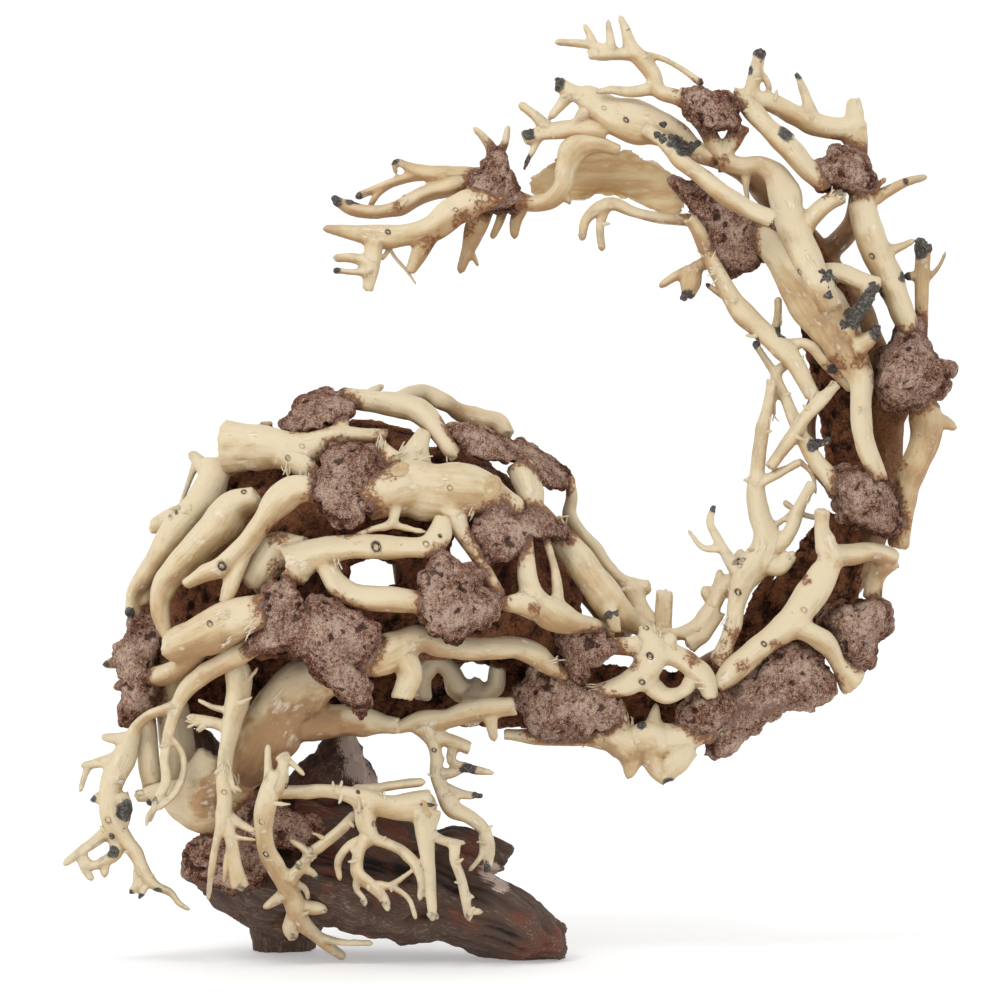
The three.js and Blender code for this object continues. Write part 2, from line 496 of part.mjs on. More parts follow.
// The thin roots that hang down in front of the base.
const hangingRoots = {
  claw_left: [
    limb(-70, [-120, 161, 3.4], [-131, 155, 4.6, -66], [-143, 149, 5, -62],
      [-153, 143, 4.6, -58], [-161, 136.5, 4.2, -54], [-166, 128.5, 3.4, -50],
      [-168.6, 120.5, 2.9], [-171, 111, 2.6], [-172.7, 100.5, 2.3], [-172, 89, 2.4],
      [-176, 81, 1.9], [-180.5, 69, 1.2]),
    limb(-50, [-170, 111, 2.3], [-165, 105.5, 2.1], [-162.8, 97, 2], [-164.5, 89, 2],
      [-169.8, 81, 2.1], [-176.5, 75.5, 1.8]),
    limb(-50, [-167, 127, 2.9], [-172, 125.5, 2.6, -48], [-180.4, 122.5, 2.5, -44],
      [-186.5, 117, 2.6, -40], [-190, 108, 4.4, -36], [-193.5, 100, 6.2], [-198, 91, 5.9],
      [-200.5, 80, 5], [-198.5, 69, 5.2], [-192, 60.5, 4.2], [-186, 51, 3.7], [-181.5, 42, 3.6],
      [-177, 37, 3], [-170, 34, 2], [-165, 28, 1.6], [-160, 25, 1.1]),
    limb(-36, [-189, 111, 3], [-196, 110.5, 2.8], [-204, 111.5, 1.9]),
    limb(-36, [-196, 101, 4], [-204, 99, 2.7], [-214, 97, 1.8]),
    limb(-36, [-201, 82, 3.4], [-209, 80, 2.2]),
    limb(-36, [-196, 82, 4], [-192.5, 76, 3.6], [-193, 68, 2.4]),
    limb(-36, [-200, 65, 3.6], [-208, 59, 2.8], [-215, 54, 2.6], [-223, 48, 2]),
    limb(-36, [-199, 63, 3.2], [-197, 54, 3.8], [-202, 50, 2.8], [-209, 47.5, 2.2],
      [-214, 52, 2.4]),
    limb(-36, [-215, 53, 2.2], [-213, 46, 2], [-209, 40, 1.6]),
    limb(-36, [-202, 51, 2.4], [-203, 42, 2]),
    limb(-36, [-183, 42, 2.6], [-190, 33, 1.4]),
    limb(-36, [-181, 40, 2.4], [-185, 31, 1.2]),
  ],
  claw_centre: [
    limb(-56, [-138, 149, 4.4], [-136, 142, 5.6], [-136, 134, 5.4], [-138, 123, 5],
      [-140.4, 111.5, 4.4], [-142.8, 99.5, 4], [-143.4, 89, 4], [-142.8, 79.5, 4],
      [-143.5, 70, 3.4], [-146.5, 60.5, 2.3], [-148.5, 50, 1.9], [-151, 30, 1.2]),
    limb(-56, [-143, 74, 3.4], [-139.5, 59, 3], [-137.5, 47, 3.2], [-135, 36.5, 3.8]),
    limb(-56, [-139.5, 57, 1.9], [-141.8, 49, 1.5], [-143, 38, 1.1]),
    limb(-55, [-141, 116, 3.2], [-148, 118.5, 3.2], [-155, 119.5, 3.4], [-161, 121.5, 2.2]),
    limb(-56, [-142, 73, 2.4], [-133, 67, 1.9], [-127, 64, 1.4]),
    limb(-57, [-140, 124.5, 2.2], [-148.5, 126.5, 1.4], [-156, 130, 1.2]),
  ],
  claw_front: [
    limb(-62, [-118, 94, 3.4], [-121, 82, 5], [-123, 71, 4.7, -58], [-122.5, 59, 4.4, -54],
      [-118, 48, 4.5, -50], [-112, 38, 4.6, -45], [-108, 29, 4.5, -40], [-105, 20, 4.2, -35],
      [-98, 13, 3.2, -30], [-91, 7, 2.7, -24], [-83, 1.4, 2.2, -17]),
    limb(-28, [-97, 12, 2.5], [-85, 9, 2.1], [-69, 8.5, 1.9]),
    limb(-43, [-111, 34, 3.2], [-117, 30, 2.6], [-123, 26, 1.6]),
    limb(-36, [-107, 23, 3.8], [-110, 15, 3.2], [-108, 11, 2.5]),
    limb(-47, [-111, 39, 3.6], [-104, 47, 3], [-99, 54, 2.7], [-91, 60, 2.7], [-83, 67, 2.7],
      [-77, 74, 2]),
    limb(-48, [-99, 52, 2.6], [-105, 57, 2], [-110, 60, 1.3]),
    limb(-47, [-105, 46, 2.2], [-98, 43, 1.6], [-96, 40, 1.1]),
    limb(-44, [-109, 39, 2.4], [-102, 35, 1.5], [-101, 30, 1.2]),
    limb(-38, [-103, 27, 2.8], [-96, 26, 3], [-92, 25, 2]),
    limb(-62, [-119, 85, 4.2], [-114.5, 90, 3.2], [-113.5, 97, 2.4], [-111.8, 103, 1.6],
      [-117, 100, 1.1]),
    limb(-62, [-112.2, 101, 1.6], [-107.5, 97, 1.4], [-103, 92.5, 1.2]),
    limb(-62, [-120, 87, 3.2], [-121, 97, 2], [-121, 107.5, 1.3]),
  ],
  cross_root: [
    limb(-52, [-118, 84, 3.4, -58], [-105, 84, 3.4, -52], [-92, 84.5, 3.5], [-81, 83, 4.2],
      [-70, 79, 5.4], [-58, 76.5, 5.8], [-48, 77.5, 6.2], [-40, 78, 6.2]),
    limb(-50, [-78, 85, 2.6], [-65, 86.2, 2.4], [-54, 88, 2.5], [-43, 89, 2.2]),
    limb(-52, [-42, 74, 5.6], [-42.5, 66, 4.7], [-42, 55, 3.7], [-40, 42, 3], [-39.5, 30, 2.6],
      [-38.6, 20, 2]),
    limb(-52, [-41.5, 64, 2.8], [-34, 60, 2.3], [-28.6, 58, 2.6], [-27.7, 50, 2.8],
      [-24.5, 41, 2.6], [-22.3, 31, 2.5], [-21, 21, 2]),
    limb(-53, [-34, 60, 1.9], [-22.5, 58.5, 1.3]),
    limb(-52, [-22.5, 32, 1.7], [-18, 31.5, 1.2]),
    limb(-52, [-21.2, 24.5, 1.9], [-14, 24, 1.3]),
    limb(-52, [-72, 78, 5], [-71, 66, 4], [-68, 61, 2.8], [-62, 58.5, 2.5], [-54, 54.5, 2.6],
      [-47, 47, 2.5], [-44.5, 40, 2.1], [-45, 30, 1.4]),
    limb(-52, [-69, 60, 2.2], [-74, 56, 1.8], [-79, 54, 1.4]),
    limb(-50, [-72, 61, 2.4], [-80, 57.5, 2], [-86, 48.5, 1.7], [-85, 40, 1.3]),
    limb(-52, [-72, 62, 3], [-76, 51, 3], [-76, 43.5, 3.4], [-70, 38, 3.1], [-63.5, 31.5, 2.3],
      [-61, 26.5, 1.5]),
    limb(-52, [-75.5, 43, 2.4], [-77, 36.5, 1.8], [-72, 29.5, 1.3]),
    limb(-52, [-67, 38, 2.2], [-58, 36, 1.7], [-51, 31, 1.5], [-47, 20.5, 1.2]),
    limb(-52, [-60, 37, 1.6], [-54, 41, 1.3], [-48.5, 45, 1.1]),
  ],
};

// Roots on the far side, which carry the shell of the piece there.
const backRoots = {
  back_dome_root_a: [
    onBack(-7, [-172, 200, 4.4], [-155, 222, 7], [-125, 232, 9], [-92, 236, 10.5],
      [-58, 238, 9], [-28, 240, 6]),
    onBack(-7, [-104, 235, 7], [-97, 205, 8.5], [-95, 172, 8], [-86, 134, 6]),
    onBack(-7, [-146, 226, 6], [-152, 196, 7], [-158, 162, 6.4], [-160, 122, 4]),
    onBack(-6, [-96, 192, 5], [-116, 168, 6], [-128, 132, 5]),
    onBack(-8, [-152, 200, 5], [-130, 190, 6], [-112, 196, 5], [-98, 200, 5]),
    onBack(-8, [-158, 160, 5], [-176, 152, 4.4], [-190, 136, 2.6]),
    onBack(-7, [-120, 233, 5], [-126, 250, 5], [-122, 268, 3.4]),
  ],
  back_dome_root_b: [
    onBack(-7, [-110, 268, 5], [-80, 258, 7], [-45, 246, 6.6], [-12, 240, 6.4], [14, 222, 7],
      [36, 190, 7], [58, 162, 5]),
    onBack(-7, [-2, 238, 5], [-2, 202, 7], [-20, 174, 7], [-44, 152, 6], [-62, 128, 4]),
    onBack(-7, [-22, 172, 5], [-4, 166, 6.4], [30, 146, 7], [70, 130, 7], [104, 134, 5]),
    onBack(-7, [-46, 247, 6], [-56, 222, 6.4], [-52, 196, 6], [-48, 170, 5], [-36, 158, 4]),
    onBack(-7, [22, 212, 5], [20, 188, 5], [8, 162, 5]),
    onBack(-7, [-50, 172, 4], [-66, 170, 4.4], [-78, 160, 3]),
  ],
  back_column_root: [
    limb(24, [98, 118, 4.6], [128, 138, 8], [156, 170, 9], [178, 208, 8.6], [188, 248, 8],
      [184, 292, 8.6], [166, 332, 8.6], [142, 366, 7], [112, 396, 5, 14], [84, 404, 3.4, 8]),
    limb(24, [186, 262, 6], [200, 285, 5, 18], [206, 304, 3.6, 12]),
    limb(26, [164, 180, 6], [140, 176, 5], [114, 158, 4], [92, 146, 3]),
    limb(24, [180, 300, 5], [162, 292, 4.4], [150, 270, 4], [154, 246, 3.4], [172, 226, 3]),
    limb(24, [154, 350, 6], [170, 366, 5, 18], [174, 388, 4, 8]),
    limb(24, [146, 362, 5], [128, 352, 4.4, 18], [112, 356, 4, 10]),
  ],
};

// Putty lumps on the front. Each outline is where the lump shows, in [x, z].
const frontPutty = {
  putty_tip: [
    {
      depthAt: level(0), thickness: 12,
      outline: [[-21, 390], [-13, 396], [-9, 405], [-4, 406], [0, 396], [4, 388], [8, 378],
        [3, 374], [-4, 376], [-12, 374], [-19, 378]],
    },
  ],
  putty_crown: [
    {
      depthAt: level(-13), thickness: 12,
      outline: [[85, 433], [92, 436], [102, 436], [109, 433], [115, 424], [113, 415], [106, 413],
        [99, 415], [91, 423], [85, 428]],
    },
  ],
  putty_shoulder: [
    {
      depthAt: level(-6), thickness: 16, wraps: true,
      outline: [[150, 395], [160, 400], [168, 405], [176, 403], [180, 393], [184, 385],
        [177, 380], [168, 382], [159, 385], [150, 389]],
    },
  ],
  putty_neck: [
    {
      depthAt: level(1), thickness: 16, wraps: true,
      outline: [[82, 389], [97, 389], [110, 382], [124, 373], [134, 362], [127, 349],
        [117, 342], [106, 344], [97, 352], [94, 362], [90, 373]],
    },
  ],
  putty_column: [
    {
      depthAt: level(1), thickness: 26, wraps: true,
      outline: [[186, 308], [193, 316], [203, 318], [210, 307], [219, 295], [216, 282],
        [204, 275], [194, 274], [183, 280], [180, 293]],
    },
  ],
  putty_elbow: [
    {
      depthAt: level(1), thickness: 26, wraps: true,
      outline: [[160, 244], [173, 246], [184, 243], [194, 235], [195, 222], [192, 211],
        [182, 213], [170, 218], [162, 229]],
    },
  ],
  putty_lower_right: [
    {
      depthAt: level(2), thickness: 23, wraps: true,
      outline: [[155, 170], [164, 177], [177, 181], [189, 181], [190, 167], [184, 156],
        [178, 145], [168, 144], [161, 152], [159, 161]],
    },
  ],
  putty_keel: [
    {
      depthAt: level(-12), thickness: 15,
      outline: [[108, 120], [107, 129], [112, 137], [124, 149], [136, 157], [147, 159],
        [159, 150], [163, 138], [153, 126], [138, 122], [120, 114], [106, 101], [96, 101],
        [100, 110]],
    },
    {
      depthAt: level(-14), thickness: 14,
      outline: [[85, 127], [90, 133], [98, 137], [112, 136], [118, 126], [110, 116], [100, 109],
        [88, 110], [83, 120]],
    },
  ],
  putty_belly: [
    {
      depthAt: level(-26), thickness: 13,
      outline: [[-2, 130], [5, 138], [9, 148], [17, 149], [31, 145], [37, 136], [47, 134],
        [55, 128], [51, 119], [41, 113], [25, 112], [11, 115], [6, 122]],
    },
    {
      depthAt: level(-30), thickness: 11,
      outline: [[27, 163], [36, 166], [50, 162], [54, 155], [46, 150], [39, 146], [36, 136],
        [28, 137], [25, 150]],
    },
  ],
  putty_dome_crown: [
    {
      depthAt: frontSkin(-2), thickness: 11,
      outline: [[-118, 267], [-110, 274], [-104, 283], [-94, 286], [-84, 285], [-76, 281],
        [-78, 274], [-86, 270], [-91, 264], [-103, 263], [-113, 263]],
    },
  ],
  putty_dome_right: [
    {
      depthAt: frontSkin(-1), thickness: 11,
      outline: [[-31, 266], [-20, 267], [-7, 263], [6, 259], [20, 253], [29, 245], [30, 237],
        [23, 234], [14, 243], [3, 246], [-8, 249], [-20, 250], [-29, 257]],
    },
  ],
  putty_dome_front: [
    {
      depthAt: frontSkin(0), thickness: 10,
      outline: [[-14, 228], [-8, 237], [1, 228], [13, 227], [24, 219], [30, 211], [20, 211],
        [9, 208], [2, 200], [-9, 200], [-17, 209], [-20, 219]],
    },
  ],
  putty_dome_centre: [
    {
      depthAt: frontSkin(6), thickness: 10,
      outline: [[-100, 235], [-97, 246], [-91, 256], [-78, 260], [-68, 253], [-62, 242],
        [-66, 232], [-72, 223], [-84, 219], [-95, 224]],
    },
  ],
  putty_dome_mid: [
    {
      depthAt: frontSkin(2), thickness: 11,
      outline: [[-36, 207], [-29, 200], [-20, 197], [-12, 188], [-3, 180], [-9, 170], [-15, 164],
        [-28, 157], [-40, 161], [-44, 170], [-46, 182], [-41, 195]],
    },
  ],
  putty_dome_left: [
    {
      depthAt: frontSkin(4), thickness: 11,
      outline: [[-128, 181], [-118, 190], [-110, 193], [-106, 182], [-92, 184], [-80, 177],
        [-66, 167], [-68, 155], [-76, 148], [-70, 133], [-72, 121], [-82, 128], [-94, 140],
        [-104, 149], [-116, 156], [-131, 155], [-124, 167]],
    },
  ],
  putty_left_rim: [
    {
      depthAt: level(-24), thickness: 14,
      outline: [[-186, 172], [-178, 175], [-173, 160], [-176, 149], [-174, 136], [-178, 125],
        [-187, 119], [-194, 116], [-194, 130], [-196, 140], [-201, 149], [-193, 160]],
    },
  ],
  putty_base: [
    {
      depthAt: level(-30), thickness: 12,
      outline: [[-139, 88], [-124, 88], [-114, 78], [-103, 72], [-95, 63], [-103, 54],
        [-117, 54], [-120, 44], [-133, 33], [-150, 37], [-162, 46], [-161, 55], [-148, 66]],
    },
  ],
};

// The tan, dished piece of bark under the arc.
const barkShell = {
  depthAt: level(6), thickness: 2.2, dish: 12, wraps: true,
  outline: [[8, 386], [13, 394], [22, 402], [33, 407], [46, 408], [58, 405], [72, 399],
    [83, 392], [89, 383], [85, 371], [74, 373], [62, 379], [42, 381], [25, 379], [14, 381]],
};

// Routes of the two troughs of brown lining, as [x, z, radius, depth].
const keelRoute = [[26, 136, 19, 5], [60, 131, 18, 5], [100, 131, 17, 2], [134, 162, 25, -8],
  [154, 192, 23, -8], [166, 222, 14, -4]];
const columnRoute = [[172, 246, 13, 5], [169, 275, 16, 5], [164, 305, 17, 5], [155, 335, 15, 5],
  [142, 362, 12, 5]];

// Gaps that can be seen right through: [x, z, half width, half height].
const throughHoles = [
  [-68, 193, 15, 10],
  [-24, 201, 8, 15],
  [-18, 144, 11, 8],
  [-39, 262, 11, 8],
];

// The rust-brown lining of the dome: a thin shell just inside the sticks. Its back reaches down to
// the rim and its front stops higher, so the hollow is open below.
function domeLining() {
  const shell = (wall) => {
    const geometry = new THREE.SphereGeometry(1, 12, 7);
    const centre = placed(dome.x, dome.z, 0);
    geometry.rotateX(Math.PI / 2);
    geometry.scale(dome.width - 17 - wall, dome.depth - 16 - wall, dome.height - 17 - wall);
    geometry.translate(centre.x, centre.y, centre.z);
    return toSolid(geometry);
  };
  const span = 2 * dome.width;
  const frontHalf = new THREE.BoxGeometry(2 * span, span, span);
  frontHalf.translate(dome.x, -span / 2, dome.z - span / 2 - 12);
  const belowRim = new THREE.BoxGeometry(2 * span, 2 * span, span);
  belowRim.translate(dome.x, 0, dome.z - span / 2 - 50);
  let lining = shell(0).subtract(shell(5)).subtract(toSolid(frontHalf)).subtract(toSolid(belowRim));
  for (const [x, z, halfWidth, halfHeight] of throughHoles) {
    for (const side of [-1, 1]) {
      const hole = new THREE.CylinderGeometry(1, 1, 2 * dome.depth, 6);
      hole.scale(halfWidth, 1, halfHeight);
      const middle = placed(x, z, side * dome.depth);
      hole.translate(middle.x, middle.y, middle.z);
      lining = lining.subtract(toSolid(hole));
    }
  }
  return lining;
}

// A rust-brown lining behind the sticks: a trough that is open to the front.
function troughLining(route) {
  const nearer = ([x, z, radius, depth]) => [x, z, radius - 2, depth - 9];
  const outer = stick(limb(0, ...route));
  const inner = stick(limb(0, ...route.map(nearer)), { grow: 6 });
  return outer.subtract(inner);
}

// The dark driftwood base: a log to the right, a lobe to the left and a wall that rises behind.
function baseWood() {
  const limbs = [
    stick(limb(8, [-104, 52, 31], [-78, 47, 30], [-52, 37, 27], [-28, 30, 23, 2],
      [-6, 21, 20, -4], [12, 12, 15, -4], [26, 7, 8.5, -4]), { stretch: 1.5 }),
    stick(limb(10, [-159, 50, 9], [-147, 48, 15], [-132, 44, 20.5], [-114, 42, 26]), { stretch: 1.5 }),
    stick(limb(26, [-110, 34, 20], [-112, 12, 15, 36], [-112, -4, 13, 42]), { stretch: 1.2 }),
    stick(limb(20, [-100, 62, 30], [-94, 84, 20], [-87, 102, 11], [-85, 117, 4])),
    stick(limb(28, [-128, 60, 24], [-140, 84, 17], [-152, 101, 12], [-157, 114, 6]), { stretch: 1.3 }),
    stick(limb(4, [-40, 44, 15], [-27, 53, 13], [-13, 53, 9.5], [-2, 50, 7]), { stretch: 1.3 }),
    stick(limb(12, [-136, 42, 15], [-126, 33, 13.5], [-115, 23, 11], [-106.5, 15.5, 7.5]),
      { stretch: 1.2 }),
  ];
  const ground = new THREE.BoxGeometry(1000, 1000, 200);
  ground.translate(0, 0, groundZ - 100);
  return wasm.Manifold.union(limbs).simplify(driftwoodSlack).subtract(toSolid(ground));
}

// The largest body of a solid, so that a sliver cut loose by a neighbour doesn't stay.
function onePiece(solid) {
  const bodies = solid.decompose();
  return bodies.reduce((best, body) => (body.volume() > best.volume() ? body : best));
}

const group = new THREE.Group();
const placedSolids = [];

// Adds a piece, cut back where it would run into the pieces already there.
function addPiece(name, finish, slack, build) {
  let solid = build(0).simplify(slack);
  for (const other of placedSolids) {
    if (solid.intersect(other).volume() > 0) solid = solid.subtract(other);
  }
  solid = onePiece(solid.simplify(cleanSlack));
  placedSolids.push(build(gap + slack));
  const mesh = new THREE.Mesh(toGeometry(solid), new THREE.MeshStandardMaterial(finishes[finish]));
  mesh.name = name;
  group.add(mesh);
}

const united = (limbs, options) => wasm.Manifold.union(limbs.map((l) => stick(l, options)));

const rootSets = [keelRoots, domeRoots, hangingRoots, columnRoots, arcRoots, tipRoots, backRoots];
for (const roots of rootSets) {
  for (const [name, limbs] of Object.entries(roots)) {
    addPiece(name, "root", facetSlack, (grow) => united(limbs, { grow }));
  }
}
for (const [name, shapes] of Object.entries(frontPutty)) {
  const lumps = (grow) => wasm.Manifold.union(shapes.map((shape) => lump(shape, grow)));
  addPiece(name, "putty", puttySlack, lumps);
}
addPiece("base_wood", "driftwood", puttySlack, () => baseWood());
addPiece("dome_lining", "lining", puttySlack, () => domeLining());
addPiece("keel_lining", "lining", puttySlack, () => troughLining(keelRoute));
addPiece("column_lining", "lining", puttySlack, () => troughLining(columnRoute));
addPiece("bark_shell", "bark", barkSlack, () => lump(barkShell));

const box = new THREE.Box3().setFromObject(group);
const middle = box.getCenter(new THREE.Vector3());
for (const mesh of group.children) {
  mesh.geometry.translate(-middle.x, -middle.y, -box.min.z);
}

export default group;
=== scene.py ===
"""Looks of the aquarium root wood: pale root sticks set in sandy putty on dark driftwood.

Pieces are worked in millimetres, in the frame of the traced stick points: x to the right and z up
as seen level from the eye, and y to the back. The origin of the part is taken from its own nodes.
"""

import itertools
import json
import logging
import math
from dataclasses import dataclass, field
from enum import Enum

import bmesh
import bpy
import numpy as np
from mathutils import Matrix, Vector
from mathutils.bvhtree import BVHTree

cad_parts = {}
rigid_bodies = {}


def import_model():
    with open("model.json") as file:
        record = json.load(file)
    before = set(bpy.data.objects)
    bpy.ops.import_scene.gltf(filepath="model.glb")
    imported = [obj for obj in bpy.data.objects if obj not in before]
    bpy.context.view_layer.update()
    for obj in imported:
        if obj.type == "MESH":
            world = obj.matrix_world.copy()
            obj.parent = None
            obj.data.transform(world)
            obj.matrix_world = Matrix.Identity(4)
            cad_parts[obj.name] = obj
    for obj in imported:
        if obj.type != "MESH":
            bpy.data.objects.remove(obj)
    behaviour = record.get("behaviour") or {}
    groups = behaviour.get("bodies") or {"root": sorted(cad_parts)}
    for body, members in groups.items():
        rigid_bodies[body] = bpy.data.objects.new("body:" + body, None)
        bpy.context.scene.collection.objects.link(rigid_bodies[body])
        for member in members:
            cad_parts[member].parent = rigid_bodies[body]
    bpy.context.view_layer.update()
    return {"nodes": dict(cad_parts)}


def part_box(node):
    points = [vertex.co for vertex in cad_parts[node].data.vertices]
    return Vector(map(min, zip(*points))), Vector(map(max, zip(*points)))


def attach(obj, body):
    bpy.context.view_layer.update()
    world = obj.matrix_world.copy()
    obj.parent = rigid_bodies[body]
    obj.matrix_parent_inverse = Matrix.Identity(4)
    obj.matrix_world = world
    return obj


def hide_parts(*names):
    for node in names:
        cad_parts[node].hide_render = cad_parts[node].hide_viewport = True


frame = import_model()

MM = 0.001
SHRINK, SWELL = 0.5, 0.53
log = logging.getLogger("root_wood")


@dataclass(frozen=True)
class Eye:
    """The level eye that the stick points were traced from."""

    x: float = -5.0
    z: float = 230.0
    distance: float = 2000.0

    def placed(self, x: np.ndarray, z: np.ndarray, y: np.ndarray) -> np.ndarray:
        """Gives points from where they show from the front and how deep they lie.

        Args:
            x: where each point shows, to the right.
            z: where each point shows, upwards.
            y: how far each point lies behind the middle plane.

        Returns:
            The points, one to a row.
        """
        x, z, y = np.broadcast_arrays(*(np.asarray(v, float) for v in (x, z, y)))
        spread = 1 + y / self.distance
        return np.stack([self.x + (x - self.x) * spread, y, self.z + (z - self.z) * spread], -1)

    def seen(self, points: np.ndarray) -> np.ndarray:
        """Gives the x and z at which points show from the front, on the middle plane."""
        centre = np.array([self.x, self.z])
        return centre + (points[:, ::2] - centre) / (1 + points[:, 1:2] / self.distance)


EYE = Eye()


@dataclass(frozen=True)
class HollowBody:
    """The rounded body that the sticks lie on: a wide dome and the tube that runs on from it."""

    dome: tuple[float, ...] = (-75, 165, 130, 122, 76)
    tube: tuple[tuple[float, ...], ...] = (
        (-10,145,38,44), (50,130,36,36), (105,132,34,32), (150,165,38,32), (176,208,28,28), (190,252,30,28),
        (186,298,36,30), (164,338,38,32), (138,378,38,32), (104,408,34,30), (60,405,28,26),
    )

    def depth(self, x: np.ndarray, z: np.ndarray) -> np.ndarray:
        """Gives half the thickness of the body behind points of the front view.

        Args:
            x: where each point shows, to the right.
            z: where each point shows, upwards.

        Returns:
            The half thickness at each point.
        """
        x, z = np.asarray(x, float), np.asarray(z, float)
        centre_x, centre_z, width, height, deep = self.dome
        across = ((x - centre_x) / width) ** 2 + ((z - centre_z) / height) ** 2
        depth = deep * np.sqrt(np.clip(1 - across, 0, None))
        for a, b in zip(self.tube, self.tube[1:]):
            run_x, run_z = b[0] - a[0], b[1] - a[1]
            along = ((x - a[0]) * run_x + (z - a[1]) * run_z) / (run_x ** 2 + run_z ** 2)
            t = np.clip(along, 0, 1)
            aside = np.hypot(x - a[0] - run_x * t, z - a[1] - run_z * t)
            side = np.sqrt(np.clip(1 - (aside / (a[2] + (b[2] - a[2]) * t)) ** 2, 0, None))
            depth = np.maximum(depth, (a[3] + (b[3] - a[3]) * t) * side)
        return depth


BODY = HollowBody()


class Lattice:
    """Smooth noise between values on a lattice, the same on every run."""

    TURN = np.array([(0.78, 0.35, 0.52), (-0.6, 0.62, 0.5), (-0.15, -0.7, 0.69)])

    def __init__(self, seed: int) -> None:
        """Draws the values of the lattice."""
        self.values = np.random.default_rng(seed).uniform(-1, 1, 4096)

    def at(self, points: np.ndarray, size: float) -> np.ndarray:
        """Reads the noise.

        Args:
            points: where to read it, one point to a row.
            size: the distance between lattice points.

        Returns:
            One value from -1 to 1 for each point.
        """
        scaled = points @ self.TURN / size
        cell = np.floor(scaled).astype(np.int64)
        t = scaled - cell
        t = t * t * (3 - 2 * t)
        total = np.zeros(len(points))
        for corner in itertools.product((0, 1), repeat=3):
            i, j, k = (cell + corner).T
            key = (i * 73856093 ^ j * 19349663 ^ k * 83492791) & 4095
            weight = np.prod(np.where(corner, t, 1 - t), axis=1)
            total += weight * self.values[key]
        return total


NOISE = Lattice(31)


@dataclass
class Path:
    """A limb's centreline in short even steps, with a frame that turns as little as it can."""

    centres: np.ndarray
    radii: np.ndarray
    tangents: np.ndarray
    across: np.ndarray
    third: np.ndarray
    along: np.ndarray


@dataclass
class Limb:
    """One stick: the centres and radii of its stations, front to back or root to tip."""

    stations: np.ndarray

    def path(self, step: float) -> Path:
        """Runs a smooth curve through the stations.

        Args:
            step: the wanted distance between rings.

        Returns:
            The curve's centres, radii and frames.
        """
        rows = self.stations
        span = np.linalg.norm(np.diff(rows[:, :3], axis=0), axis=1)
        knots = np.concatenate([[0], np.cumsum(span)])
        slope = np.diff(rows, axis=0) / span[:, None]
        lean = np.vstack([slope[:1], slope[-1:]]) if len(rows) == 2 else np.vstack([
            slope[:1],
            (slope[:-1] * span[1:, None] + slope[1:] * span[:-1, None])
            / (span[1:] + span[:-1])[:, None],
            slope[-1:],
        ])
        at = np.linspace(0, knots[-1], max(4, int(knots[-1] / step) + 2))
        i = np.clip(np.searchsorted(knots, at, side="right") - 1, 0, len(span) - 1)
        h, t = span[i][:, None], ((at - knots[i]) / span[i])[:, None]
        curve = (
            (2 * t ** 3 - 3 * t ** 2 + 1) * rows[i] + (t ** 3 - 2 * t ** 2 + t) * h * lean[i]
            + (3 * t ** 2 - 2 * t ** 3) * rows[i + 1] + (t ** 3 - t ** 2) * h * lean[i + 1]
        )
        centres, radii = curve[:, :3], np.maximum(curve[:, 3], 0.4)
        tangents = np.gradient(centres, axis=0)
        tangents /= np.linalg.norm(tangents, axis=1)[:, None]
        across = np.empty_like(centres)
        hint = np.array([0.31, 0.9, 0.17])
        for ring, tangent in enumerate(tangents):
            hint = hint - tangent * hint.dot(tangent)
            hint = hint / np.linalg.norm(hint)
            across[ring] = hint
        return Path(centres, radii, tangents, across, np.cross(across, tangents), at)


def limb(y: float, *points: tuple[float, ...]) -> Limb:
    """Makes a limb from points that each keep the depth of the last one unless they give their own.

    Args:
        y: the depth of the first point.
        points: x, z and radius, and the depth where it changes.

    Returns:
        The limb.
    """
    rows, depth = [], y
    for point in points:
        depth = point[3] if len(point) > 3 else depth
        rows.append([*EYE.placed(point[0], point[1], depth), point[2]])
    return Limb(np.array(rows, float))


def on_front(lift: float, *points: tuple[float, float, float]) -> Limb:
    """Makes a limb of x, z and radius points on the front of the body, lifted to the viewer."""
    return limb(0, *((x, z, r, -float(BODY.depth(x, z)) - lift) for x, z, r in points))


def on_back(lift: float, *points: tuple[float, float, float]) -> Limb:
    """Makes a limb of x, z and radius points on the back of the body, lifted outwards."""
    return limb(0, *((x, z, r, float(BODY.depth(x, z)) + lift) for x, z, r in points))


Roots = dict[str, list[Limb]]
Spots = tuple[tuple[float, float, float], ...]


def mesh_of(name: str, points: np.ndarray, faces: list[tuple[int, ...]]) -> bpy.types.Mesh:
    """Makes a mesh of points in rows and faces of point numbers."""
    mesh = bpy.data.meshes.new(name)
    mesh.from_pydata(points.tolist(), [], faces)
    return mesh


def woven(ring: np.ndarray, first: int, last: int | None = None) -> list[tuple[int, ...]]:
    """Gives the faces that join rings of points.

    Args:
        ring: the numbers of the points, one ring to a row.
        first: the number of the point that the first ring closes on.
        last: the number of the point that the last ring closes on, if it closes.

    Returns:
        The point numbers of each face.
    """
    after = np.roll(ring, -1, axis=1)
    faces = np.stack([ring[:-1], ring[1:], after[1:], after[:-1]], -1).reshape(-1, 4).tolist()
    faces += [(first, *pair) for pair in zip(ring[0].tolist(), after[0].tolist())]
    if last is not None:
        faces += [(last, *pair) for pair in zip(after[-1].tolist(), ring[-1].tolist())]
    return faces


def points_of(mesh: bpy.types.Mesh) -> np.ndarray:
    """Gives the points of a mesh, one to a row."""
    points = np.empty(len(mesh.vertices) * 3, np.float32)
    mesh.vertices.foreach_get("co", points)
    return points.reshape(-1, 3).astype(float)


def normals_of(mesh: bpy.types.Mesh) -> np.ndarray:
    """Gives the direction that each point of a mesh faces, one to a row."""
    normals = np.empty(len(mesh.vertices) * 3, np.float32)
    mesh.vertex_normals.foreach_get("vector", normals)
    return normals.reshape(-1, 3).astype(float)


